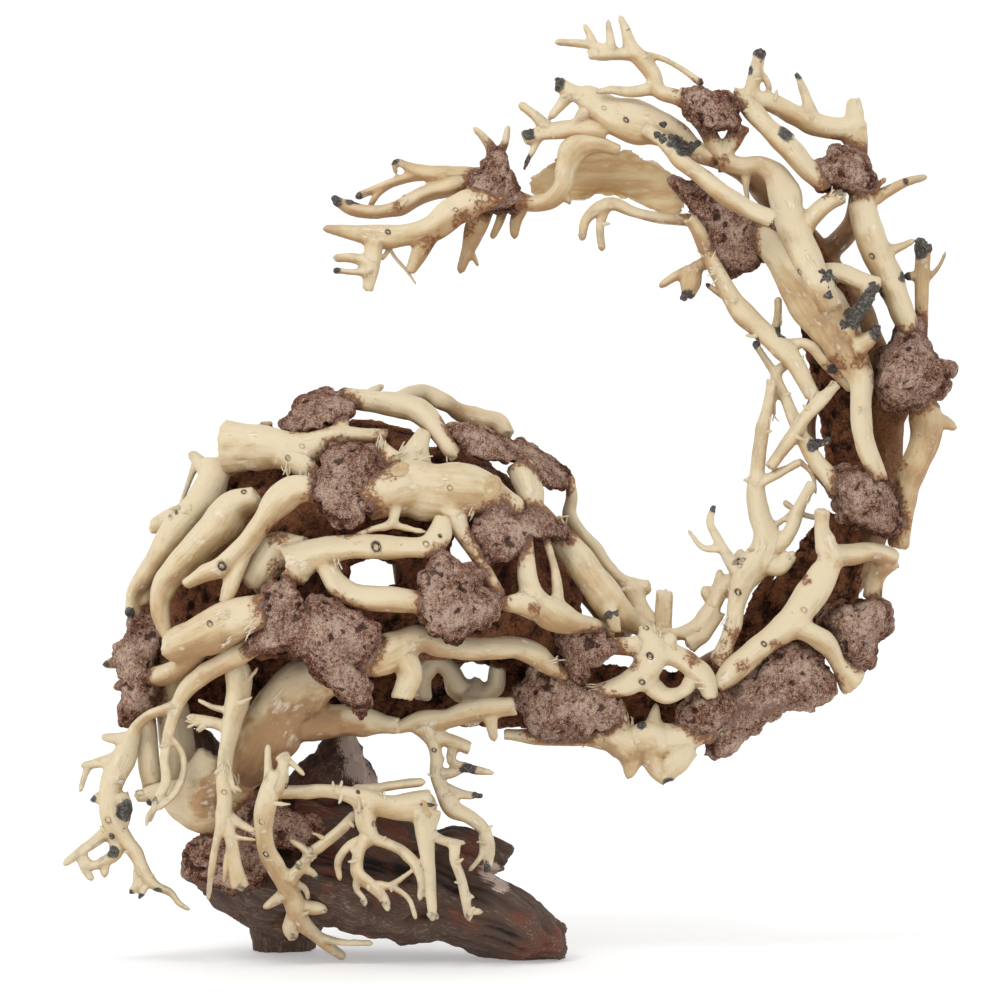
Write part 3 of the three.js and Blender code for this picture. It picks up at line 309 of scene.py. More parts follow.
def set_points(mesh: bpy.types.Mesh, points: np.ndarray) -> None:
    """Moves the points of a mesh."""
    mesh.vertices.foreach_set("co", points.astype(np.float32).ravel())
    mesh.update()


def apart(points: np.ndarray, spots: Spots) -> np.ndarray:
    """Gives how far each point shows from the nearest of round spots, in radii of the spot."""
    shown = EYE.seen(points)
    shares = [np.hypot(*(shown - (x, z)).T) / radius for x, z, radius in spots]
    return np.min(shares, axis=0) if shares else np.full(len(points), np.inf)


def raised(mesh: bpy.types.Mesh, high: np.ndarray) -> None:
    """Moves each point of a mesh by its height, the way it faces."""
    set_points(mesh, points_of(mesh) + normals_of(mesh) * high[:, None])


def linked(name: str, data: bpy.types.ID) -> bpy.types.Object:
    """Adds an object to the scene."""
    made = bpy.data.objects.new(name, data)
    bpy.context.scene.collection.objects.link(made)
    return made


def modified(mesh: bpy.types.Mesh, kind: str, **settings: object) -> bpy.types.Mesh:
    """Applies one modifier to a mesh.

    Args:
        mesh: the mesh, which is used up.
        kind: the modifier's type.
        settings: the modifier's settings.

    Returns:
        The changed mesh.
    """
    work = linked("work", mesh)
    modifier = work.modifiers.new("work", kind)
    for name, value in settings.items():
        setattr(modifier, name, value)
    graph = bpy.context.evaluated_depsgraph_get()
    made = bpy.data.meshes.new_from_object(work.evaluated_get(graph))
    bpy.data.objects.remove(work)
    bpy.data.meshes.remove(mesh)
    return made


def ends_of(mesh: bpy.types.Mesh) -> np.ndarray:
    """Reads the two points of each edge, one edge to a row."""
    ends = np.empty(len(mesh.edges) * 2, np.int32)
    mesh.edges.foreach_get("vertices", ends)
    return ends.reshape(-1, 2)


def fused(mesh: bpy.types.Mesh, voxel: float, least: int = 60) -> bpy.types.Mesh:
    """Fuses the shells of a mesh into one skin and drops the loose specks this can leave.

    Args:
        mesh: the mesh, which is used up.
        voxel: the grid of the new skin, in millimetres.
        least: how many points an island needs to stay.

    Returns:
        The fused mesh.
    """
    mesh = modified(mesh, "REMESH", mode="VOXEL", voxel_size=voxel)
    a, b = ends_of(mesh).T
    island = np.arange(len(mesh.vertices))
    while True:
        lower = island.copy()
        np.minimum.at(lower, a, island[b])
        np.minimum.at(lower, b, island[a])
        lower = lower[lower]
        if (lower == island).all():
            break
        island = lower
    small = np.bincount(island, minlength=len(island))[island] < least
    if small.any():
        work = bmesh.new()
        work.from_mesh(mesh)
        specks = [point for point, loose in zip(work.verts, small) if loose]
        bmesh.ops.delete(work, geom=specks, context="VERTS")
        work.to_mesh(mesh)
        work.free()
    return mesh


def middles(ends: np.ndarray, points: np.ndarray) -> np.ndarray:
    """Gives the middle of each point's neighbours.

    Args:
        ends: the two points of each edge, one edge to a row.
        points: the points, one to a row.

    Returns:
        The middles, one to a row.
    """
    a, b = ends.T
    count = len(points)
    degree = np.maximum(np.bincount(ends.ravel(), minlength=count), 1)[:, None]
    sums = [np.bincount(a, points[b, k], count) + np.bincount(b, points[a, k], count) for k in range(3)]
    return np.stack(sums, 1) / degree


def relaxed(mesh: bpy.types.Mesh, rounds: int, fillet: float) -> None:
    """Smooths a mesh in place without shrinking it, and fills the notches where limbs meet.

    Args:
        mesh: the mesh.
        rounds: how often it is smoothed.
        fillet: how fast hollow places fill, from 0 to 1.
    """
    points, ends = points_of(mesh), ends_of(mesh)
    for turn in range(rounds):
        points += SHRINK * (middles(ends, points) - points)
        points -= SWELL * (middles(ends, points) - points)
        if fillet and turn % 3 == 0:
            set_points(mesh, points)
            normals = normals_of(mesh)
        if fillet:
            rise = np.clip(((middles(ends, points) - points) * normals).sum(1), 0, None)
            points += fillet * rise[:, None] * normals
    set_points(mesh, points)


def hollows(mesh: bpy.types.Mesh, rounds: int = 7, depth: float = 0.35) -> np.ndarray:
    """Gives how deep in a crevice or fork each point of a mesh lies.

    Args:
        mesh: the mesh.
        rounds: how many edges far it looks.
        depth: the depth in millimetres that counts as 1.

    Returns:
        One value from 0 to 1 for each point.
    """
    points, ends = points_of(mesh), ends_of(mesh)
    middle = points
    for _ in range(rounds):
        middle = middles(ends, middle)
    rise = ((middle - points) * normals_of(mesh)).sum(1)
    return np.clip(rise / depth, 0, 1)


def joined(first: bpy.types.Mesh, second: bpy.types.Mesh) -> bpy.types.Mesh:
    """Puts a second mesh into the first.

    Args:
        first: the mesh that is added to.
        second: the mesh that is used up.

    Returns:
        The first mesh.
    """
    work = bmesh.new()
    work.from_mesh(first)
    work.from_mesh(second)
    work.to_mesh(first)
    work.free()
    bpy.data.meshes.remove(second)
    return first


def store(mesh: bpy.types.Mesh, name: str, values: np.ndarray) -> None:
    """Stores a value, a vector or a colour for each point of a mesh, for its material to read."""
    kinds = {1: ("FLOAT", "value"), 3: ("FLOAT_VECTOR", "vector"), 4: ("FLOAT_COLOR", "color")}
    kind, key = kinds[values.size // len(values)]
    mesh.attributes.new(name, kind, "POINT").data.foreach_set(key, values.astype(np.float32).ravel())


def tube_mesh(limbs: list[Limb], step: float, seed: int, wood: "Shaping") -> bpy.types.Mesh:
    """Builds closed, slightly uneven tubes round limbs, which still run through each other.

    Args:
        limbs: the limbs of one piece.
        step: the distance between rings.
        seed: which set of random unevenness to take.
        wood: how uneven the sections are.

    Returns:
        The tubes as one mesh.
    """
    draw = np.random.default_rng(seed)
    points, faces, start = [], [], 0
    for one in limbs:
        path = one.path(step)
        rings, sides = len(path.radii), int(np.clip(path.radii.max() * 5, wood.sides, 40))
        theta = np.linspace(0, 2 * math.pi, sides, endpoint=False)[None, :]
        turn = draw.uniform(0, 6, 2) + path.along[:, None] / draw.uniform(22, 45, 2)
        radius = path.radii[:, None] * (
            1 + wood.oval * np.cos(2 * theta - turn[:, :1])
            + wood.lobes * np.cos(3 * theta + turn[:, 1:])
        )
        swell = NOISE.at(np.stack([path.along, path.along * 0, path.along * 0 + seed + start], 1), 9)
        radius = radius * (1 + wood.swell * swell[:, None])
        for knob in np.arange(draw.uniform(4, wood.knob_every), path.along[-1], wood.knob_every):
            side, reach = draw.uniform(0, 2 * math.pi), draw.uniform(0.7, 1.2)
            near = np.exp(-((path.along - knob) / (reach * path.radii)) ** 2)[:, None]
            radius = radius + wood.knob * path.radii[:, None] * near * np.clip(
                np.cos(theta - side), 0, 1) ** 2
        first = np.exp(-path.along / (0.8 * path.radii[0] + 0.5))[:, None]
        radius = radius * (1 + wood.flare * first)
        offset = (path.across[:, None] * np.cos(theta)[..., None]
                  + path.third[:, None] * np.sin(theta)[..., None]) * radius[..., None]
        offset[..., 1] *= wood.stretch
        slant = draw.uniform(-wood.slant, wood.slant, 2)
        for end, way in ((0, -1), (-1, 1)):
            tilt = slant[0] * np.cos(theta[0]) + slant[1] * np.sin(theta[0])
            flat = path.radii[end] > wood.flat_from
            offset[end] += path.tangents[end] * (path.radii[end] * tilt)[:, None]
            offset[end] *= 1 if flat else wood.narrow
            reach = path.radii[end] * (wood.flat_end if flat else wood.round_end) * wood.cap
            points.append((path.centres[end] + way * path.tangents[end] * reach)[None])
        points.append((path.centres[:, None] + offset).reshape(-1, 3))
        ring = np.arange(rings * sides).reshape(rings, sides) + start + 2
        faces += [face[:1] + face[:0:-1] for face in woven(ring, start, start + 1)]
        start += 2 + rings * sides
    return mesh_of("tubes", np.concatenate(points), faces)


@dataclass(frozen=True)
class Shaping:
    """How the sticks of one kind of wood are shaped.

    Lengths are in millimetres, and the rest are shares of the radius.
    """

    oval: float = 0.1
    lobes: float = 0.05
    swell: float = 0.09
    knob: float = 0.2
    knob_every: float = 26.0
    flare: float = 0.35
    stretch: float = 1.0
    flat_from: float = 2.3
    flat_end: float = 0.25
    round_end: float = 0.9
    narrow: float = 0.65
    cap: float = 0.6
    slant: float = 0.3
    sides: int = 10
    rounds: int = 15
    fillet: float = 0.7
    keep: float = 0.42


@dataclass
class Strands:
    """The centrelines of a piece's limbs, from which its points get their grain and cut ends."""

    limbs: list[Limb]
    squash: float = 0.12
    step: float = 2.5
    batch: int = 20000

    def __post_init__(self) -> None:
        """Gathers the centrelines of all the limbs."""
        paths = [one.path(self.step) for one in self.limbs]
        self.centres = np.concatenate([p.centres for p in paths])
        self.radii = np.concatenate([p.radii for p in paths])
        self.across = np.concatenate([p.across for p in paths])
        self.third = np.concatenate([p.third for p in paths])
        self.tangents = np.concatenate([p.tangents for p in paths])
        self.along = np.concatenate([p.along + 53.0 * i for i, p in enumerate(paths)])
        ends = [np.minimum(p.along, p.along[-1] - p.along) for p in paths]
        self.to_end = np.concatenate(ends)

    def nearest(self, points: np.ndarray) -> np.ndarray:
        """Finds the centreline sample that each point belongs to.

        Args:
            points: the points, one to a row.

        Returns:
            The number of a sample for each point.
        """
        scale = 1 / (self.radii + 1.0) ** 2
        found = np.empty(len(points), np.int64)
        square = (self.centres ** 2).sum(1)
        for low in range(0, len(points), self.batch):
            part = points[low:low + self.batch]
            away = (part ** 2).sum(1)[:, None] - 2 * part @ self.centres.T + square
            found[low:low + self.batch] = (away * scale).argmin(1)
        return found

    def ending(self, mesh: bpy.types.Mesh, index: np.ndarray) -> np.ndarray:
        """Tells the broken ends of thick limbs from their sides.

        Args:
            mesh: the mesh of the limbs.
            index: the sample that each of its points belongs to.

        Returns:
            One value from 0 on a side to 1 on an end for each point.
        """
        facing = np.abs((normals_of(mesh) * self.tangents[index]).sum(1))
        near = (self.to_end[index] < 1.3) & (self.radii[index] > 2.2)
        return near * np.clip((facing - 0.7) * 5, 0, 1)

    def grain(self, points: np.ndarray, index: np.ndarray) -> np.ndarray:
        """Gives coordinates that run slowly along the wood and fast across it.

        Args:
            points: the points, one to a row.
            index: the sample that each belongs to.

        Returns:
            The coordinates, one to a row, in millimetres across.
        """
        offset = points - self.centres[index]
        beyond = (offset * self.tangents[index]).sum(1)
        return np.stack([
            (offset * self.across[index]).sum(1),
            (offset * self.third[index]).sum(1),
            (self.along[index] + beyond) * self.squash,
        ], 1)


@dataclass
class Piece:
    """One finished piece: its mesh joins the part's body and stands for a solid."""

    name: str
    node: str
    slot: str
    mesh: bpy.types.Mesh
    material: bpy.types.Material

    def put(self, origin: np.ndarray) -> None:
        """Carries the mesh from millimetres to the part's frame and adds it to the scene.

        Args:
            origin: where the stick points' own origin lies in the part's frame, in millimetres.
        """
        set_points(self.mesh, (points_of(self.mesh) + origin) * MM)
        self.mesh.materials.clear()
        self.mesh.materials.append(self.material)
        self.mesh.shade_smooth()
        made = linked(self.name, self.mesh)
        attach(made, "root")
        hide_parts(self.node)
        log.info("%s stands for %s with %d faces", self.name, self.node, len(self.mesh.polygons))


def voxel_for(limbs: list[Limb]) -> float:
    """Picks the grid for fusing a piece: finer for one with thin limbs."""
    thick = float(np.mean([one.stations[:, 3].mean() for one in limbs]))
    return float(np.clip(0.62 + 0.075 * thick, 0.75, 1.25))


@dataclass
class RootCluster:
    """Root-wood pieces that belong together, with the marks on them."""

    roots: Roots
    twigs: Roots = field(default_factory=dict)
    splinters: Roots = field(default_factory=dict)
    charred: Spots = ()
    stained: Spots = ()
    # spots of painted shade, where a root lies in shadow
    painted_shade_spots: Spots = ()
    shaping: Shaping = Shaping()
    step: float = 1.5

    def build(self, parts: "Workshop") -> None:
        """Builds and dresses each root of the cluster.

        Args:
            parts: the shared finishes and origin.
        """
        for seed, name in enumerate(self.roots):
            mesh, strands = self.carved(name, 100 * len(self.roots) + seed)
            self.dress(mesh, strands, parts)
            label = name.replace("_root", "") + "_root_wood"
            Piece(label, name, "root", mesh, parts.wood).put(parts.origin)

    def carved(self, name: str, seed: int) -> tuple[bpy.types.Mesh, Strands]:
        """Fuses the limbs of one root, rounds its forks and gives it low flutes.

        Args:
            name: the root.
            seed: which set of random unevenness to take.

        Returns:
            The mesh and the centrelines behind it.
        """
        limbs = self.roots[name] + self.twigs.get(name, [])
        strands = Strands(limbs + self.splinters.get(name, []))
        mesh = tube_mesh(limbs, self.step, seed, self.shaping)
        mesh = fused(mesh, voxel_for(limbs))
        relaxed(mesh, self.shaping.rounds, self.shaping.fillet)
        # the crevice depth, which the wood finish paints as shade
        store(mesh, "hollow", hollows(mesh))
        points = points_of(mesh)
        index = strands.nearest(points)
        grain = strands.grain(points, index)
        size = np.clip(strands.radii[index] / 7, 0.18, 1)
        low = 0.6 * NOISE.at(points + seed, 15) + 0.3 * NOISE.at(points, 6)
        flute = 0.34 * NOISE.at(grain + seed, 3.2) + 0.14 * NOISE.at(grain, 1.3)
        torn = 1.1 * NOISE.at(points, 4) + 0.8 * NOISE.at(points, 1.8)
        burnt = 0.6 * NOISE.at(points, 1.7) * self.marked(points, self.charred)
        raised(mesh, (low + flute) * size + torn * strands.ending(mesh, index) + burnt)
        mesh = modified(mesh, "DECIMATE", ratio=self.shaping.keep)
        if name in self.splinters:
            hair = Shaping(knob=0, flare=0, flat_from=9, sides=6)
            mesh = joined(mesh, tube_mesh(self.splinters[name], self.step, seed, hair))
        return mesh, strands

    def dress(self, mesh: bpy.types.Mesh, strands: Strands, parts: "Workshop") -> None:
        """Stores the grain, the warm tone with painted shade in it, and the tone channels char, rust, cut
        end and thinness.

        Args:
            mesh: the root's mesh.
            strands: the centrelines behind it.
            parts: the shared finishes and the putty laid.
        """
        points = points_of(mesh)
        index = strands.nearest(points)
        store(mesh, "grain", strands.grain(points, index))
        tone = np.zeros((len(points), 4))
        tone[:, 0] = self.marked(points, self.charred)
        tone[:, 1] = np.maximum(0.5 * self.marked(points, self.stained), parts.rust_at(points))
        tone[:, 2] = strands.ending(mesh, index)
        tone[:, 3] = np.clip((4.2 - strands.radii[index]) / 3, 0, 1)
        store(mesh, "tone", tone)
        # painted shade: undersides and points further back get a warmer tone, which the wood finish paints
        # tan; the noise adds tone that differs at random
        under = np.clip(0.15 - 0.75 * normals_of(mesh)[:, 2], 0, 1)
        deep = np.clip((points[:, 1] + 20) / 60, 0, 0.5)
        warmth_and_shade = np.clip(under + deep + 0.35 * NOISE.at(points, 24), 0, 1)
        # painted shade in the shaded spots, added on top
        store(mesh, "warmth_and_shade", warmth_and_shade + 0.9 * self.marked(points, self.painted_shade_spots))

    def marked(self, points: np.ndarray, spots: Spots) -> np.ndarray:
        """Gives how strongly round marks show on each point, from 0 to 1, with uneven edges."""
        waver = 0.3 * NOISE.at(points, 2.2) + 0.25 * NOISE.at(points, 6)
        return np.clip(1.9 - 1.3 * (apart(points, spots) + waver), 0, 1)


@dataclass
class FreeTip(RootCluster):
    """The free tip of the arc, at the upper left."""

    roots: Roots = field(default_factory=lambda: {
        "tip_root_lower": [limb(-7, (0,381,4), (-15,380,6.6), (-27,375,7.4), (-38,366,6), (-50,363,5.2),
          (-64,362,5), (-77,363.5,3.6), (-93,366,1.8)), limb(-8, (-68,361,4), (-69,350,4), (-71,335,2.6)),
          limb(-9, (-69,348,3), (-78,351,2.4), (-88,351,1.8)), limb(-9, (-70,344,2.6), (-80,344,1.7),
          (-88,345,1.7)), limb(-6, (-40,363,4), (-46,352,3.6), (-50,344,2.4))],
        "tip_root_upper": [limb(6, (-8,391,3.6), (-28,387,5), (-45,382,5), (-57,376,4.2,2), (-70,374,3.5),
          (-80,376,3.2), (-89,381,2)), limb(8, (-9,392,4), (-30,393,4.5), (-43,393.5,4.2), (-50,396,2.8),
          (-57,400,1.5)), limb(8, (-44,393,3), (-55,390,2.6), (-66,386,2.3), (-77,381.5,1.8,10)),
          limb(8, (-60,388,2), (-66,383,1.8), (-70,377,1.5)), limb(5, (-11,394,3), (-9,405,2.8),
          (-13,411,2.2), (-18,416,1.6)), limb(5, (-9,399,2.6), (-3,407,2.4), (-1,417,1.6))],
        "tip_root_hanging": [limb(9, (-12,379,4.4), (-17,367,5.6), (-21,355,3.4), (-25,344,2)),
          limb(9, (-14,378,4), (-3,379,4), (5,378,3.6), (3,369,3), (2,361,1.8)), limb(9, (-3,379,2.6),
          (-5,370,2.2), (-9,361,1.6))],
        "wishbone_root": [limb(-5, (3,380,4), (12,378,4), (20,380,4.2), (26,386,4.6), (28,396,5),
          (33,406,6), (42,408,4.5), (55,405,2.5)), limb(-5, (26,386,2.6), (30,378,1.4))],
    })
    twigs: Roots = field(default_factory=lambda: {
        "tip_root_upper": [limb(8, (-58,399,1.4), (-57,393,1.1))],
        "tip_root_lower": [limb(-6, (-56,362,1.8), (-64,350,1.1))],
        "tip_root_hanging": [limb(9, (-20,356,1.6), (-16,347,1.1))],
    })
    splinters: Roots = field(default_factory=lambda: {
        "tip_root_lower": [limb(-6, (-62,359,1), (-58,352,1), (-52,345,0.9), (-47,338,0.5))],
    })
    charred: Spots = ((-89,381,3.6), (-78,381.5,3.2), (-88.5,345,3), (-58,400,2.2))
    stained: Spots = ((-38,358,6), (-22,368,6), (-14,376,5), (-8,404,4), (-56,377,3))


@dataclass
class UpperArc(RootCluster):
    """The upper arc, from the two antlers to the neck."""

    roots: Roots = field(default_factory=lambda: {
        "arch_root": [limb(-6, (24,438,2.6), (33,433,3.6), (41,430,5.4), (51,423,8.5), (61,419,10),
          (72,417,8.5), (83,413,6.5), (92,406,5), (103,400,4,-10)), limb(-6, (31,434,3), (25,427,2.4),
          (20,421,1.8)), limb(-6, (42,429,3), (36,422,2.7), (32,418,1.8)), limb(-4, (7,411,2.8),
          (20,414,3.8), (33,416,4.6), (47,416,6)), limb(-4, (5,428,1.8), (14,421,2.5), (20,415,3)),
          limb(-14, (69,415,2.8), (76,410,3.2,-18), (84,401,3.8,-24), (97,391,4.4,-30), (108,382,4.6,-34),
          (122,374,4.8,-35), (131,370,4.6,-35))],
        "antler_left": [limb(-15, (97,422,4), (84,431,4.2), (74,435,4.2), (72,442,4.5), (66,450,4.2),
          (61,456,3.6), (58,465,2.2), (55,472,1.4)), limb(-15, (63,453,3.4), (52,453,3), (40,453,2.8)),
          limb(-15, (50,455,2.4), (37,458,2.3), (23,459,1.8)), limb(-15, (43,455,2), (40,462,1.8),
          (37,468,1.2)), limb(-15, (51,454,2.4), (50,462,2), (49,470,1.2)), limb(-15, (72,436,3),
          (60,434,2.5), (50,435,2), (43,434,1.2)), limb(-15, (64,453,1.8), (75,451,1.4), (85,446,1.4),
          (96,438,1.8))],
        "antler_right": [limb(-5, (125,454,2.8), (123,445,3.4), (120,432,4)), limb(-5, (123,445,1.8),
          (128,440,1.6), (130,434,1.4)), limb(-5, (112,431,3.6), (130,429,4.2), (142,423,4.6), (152,418,5),
          (163,416,4.8), (171,417,5), (172,430,3.4)), limb(-5, (152,419,4), (149,428,2.8), (146,437,2.1),
          (143,444,1.2)), limb(-5, (171,416,5), (173,407,5), (172,394,4.6)), limb(-5, (117,430,4),
          (125,420,5,-14), (133,412,5.5,-20), (141,404,6,-22), (148,396,5.5,-20), (157,387,4.6,-16)),
          limb(-22, (141,404,3.4), (139,412,1.6))],
        "trunk_upper": [limb(-12, (96,420,3.8), (100,412,3.8), (105,402,3.8)), limb(-12, (115,417,3.8),
          (111,409,3.8), (105,401,3.8)), limb(-12, (105,399,3.8), (115,397,4), (125,397,4.8), (132,393,6),
          (136,385,6.8,-14), (140,372,7.2,-18), (144,360,7.4,-23), (150,348,7,-28), (156,335,6,-31),
          (160,325,4,-30)), limb(-20, (143,362,5.6), (150,370,5), (157,377,4.6), (165,382,5))],
        "underside_root": [limb(-2, (90,370,3), (75,371,3), (62,374,3), (50,378,3.4), (43,375,3),
          (38,370,2.4), (36,360,1.8)), limb(-2, (48,378,2.6), (45,367,2), (46,355,1.8))],
    })
    twigs: Roots = field(default_factory=lambda: {
        "antler_right": [limb(-22, (141,404,2.4), (143,410,1.5))],
        "trunk_upper": [limb(-12, (118,395,2.6), (118,386,1.6), (119,378,1.2))],
        "arch_root": [limb(-4, (15,412,2), (11,404,1.5), (7,395,1))],
    })
    charred: Spots = (
        (24,438,3.6), (8,396,6), (9,413,2.6), (82,409,3), (87,405,3.4), (143,444,3.2), (138,413,3),
        (125,455,3.6), (119,445,2), (97,439,2.2),
    )
    stained: Spots = ((104,398,5), (117,408,4), (158,385,5), (176,379,5))


@dataclass
class Column(RootCluster):
    """The column on the right."""

    roots: Roots = field(default_factory=lambda: {
        "trunk_main": [limb(-18, (120,366,4,-4), (128,359,7.5,-10), (138,350,10.5,-15), (149,337,12),
          (158,323,12), (165,311,10), (171,300,8), (175,289,5), (175,275,4.6), (177,260,4.6),
          (184,240,4.6)), limb(-20, (150,340,6), (165,344,4.4), (176,339,5.2), (184,337,5.4)),
          limb(-24, (166,314,5), (172,321,4.4), (177,328,4.2), (181,334,3.2)), limb(-26, (160,326,5),
          (158,337,4), (157,343,3)), limb(-22, (172,306,5), (180,311,4), (184,316,2.8))],
        "strut_right": [limb(-9, (175,389,4.6), (177,373,7), (181,360,8), (187,345,7.5), (193,332,7),
          (200,314,6)), limb(-9, (190,355,2.6), (196,357,2), (202,360,1.5)), limb(-9, (178,379,3.6),
          (188,384,2.8), (198,389,2.3), (208,391.5,1.8))],
        "peg_right": [limb(4, (206,357,3.4), (206,345,4), (206,331,3.5), (206,311,3)),
          limb(4, (207,339,1.8), (214,346,1.2), (218,354,1)), limb(4, (207,342,2), (197,342,1.8))],
        "inner_long_root": [limb(-6, (90,371,3,-17), (95,363,4,-17), (99,354,4.2,-13), (104,344,4),
          (109,334,4.6), (116,324,5), (124,316,5), (132,309,5), (139,303,4.8), (146,292,4), (151,282,3.4)),
          limb(-6, (110,331,2.4), (104,334,1.9), (98,338,1.4)), limb(-6, (101,350,3.4), (92,346,3),
          (83,342,2.5), (75,337,2)), limb(-6, (91,346,4), (90,338,4.6), (89,331,3)), limb(-6, (134,331,1.6),
          (134,323,1.9), (132,312,2.2)), limb(-8, (136,307,3), (148,308,2.6,-14), (158,298,2.5,-12),
          (171,285,2.2,-8)), limb(-8, (141,300,2.4), (133,293,2.6), (138,280,2.8), (144,266,3.2,-14),
          (150,254,3.6), (165,235,4.4)), limb(-8, (122,309,1.7), (128,300,1.9), (134,291,2.4)),
          limb(-16, (163,288,2.5), (156,280,3.6), (149,273,3.6), (142,263,3.4), (135,253,3),
          (130,246,2.6))],
        "column_left_root": [limb(-13, (131,290,2.4), (129,277,2.8), (126,262,3.2), (124,248,3.4),
          (123,234,4), (125,221,5), (128,212,6,-16), (126,204,6.5), (121,196,7), (116,188,6,-20),
          (113,178,5), (111,167,4.6), (107,156,4.8), (103,148,5)), limb(-20, (115,193,3.6), (108,203,2.8),
          (103,212,2.4), (100,219,2.1), (102,227,1.4)), limb(-20, (106,206,2.2), (97,206,1.7),
          (89,215,1.1)), limb(-16, (128,206,4.4), (136,209,4), (141,216,3.6), (145,227,3.4), (151,238,3)),
          limb(-16, (127,199,4.6), (134,197,4.4), (140,202,3.2)), limb(-14, (123,238,2.8), (134,243,2.4),
          (145,249,2.2)), limb(-14, (70,164,2.6), (84,163,3), (95,168,4), (101,176,4.4), (107,187,4.4),
          (115,192,4)), limb(-14, (89,158,3.6), (97,165,4), (104,175,4.2)), limb(-8, (76,160,4.4),
          (77,184,4.2)), limb(-12, (97,186,2.2), (101,180,3), (104,188,2.4), (105,195,1.6))],
        "spine_root": [limb(3, (205,282,6.4), (208,270,8), (207,260,8), (203,249,7.2), (199,238,6.6),
          (196,226,6), (194,207,5)), limb(3, (209,268,5.6), (216,269,3.8), (223,266,1.8)),
          limb(3, (212,271,3), (214,278,1.6))],
    })
    twigs: Roots = field(default_factory=lambda: {
        "inner_long_root": [limb(-8, (134,290,1.6), (132,281,1.3), (132,272,1)), limb(-9, (147,262,1.8),
          (153,258,1.9), (160,260,1.5)), limb(-12, (137,229,1.4), (146,223,1.7), (154,221,1.2)),
          limb(-10, (144,250,1.5), (151,243,1.4), (153,233,1.2))],
        "column_left_root": [limb(-13, (125,240,1.9), (121,240.5,1.5), (116.5,240,1)),
          limb(-14, (118,196,2.2), (114,200,2.4), (116,205,1.7)), limb(-14, (130,216,1.6), (139,222,1.4),
          (146,231,1.2))],
        "strut_right": [limb(-12, (181,385,2), (188,391,1.4))],
    })
    charred: Spots = (
        (122,309,2.6), (102,227,2.4), (89,331,3.2), (206,357,4.4), (157,337,5), (172,321,4.4),
        (177,327,4.6), (182,333,4), (184,314,4), (197,342,2.6), (198,389,1.6), (98,338,2), (151,257,3),
        (161,295,2.4), (136,314,2.6),
    )
    stained: Spots = (
        (128,378,5), (176,300,5), (162,296,6), (112,160,6), (106,150,5), (197,263,4), (194,248,4),
    )


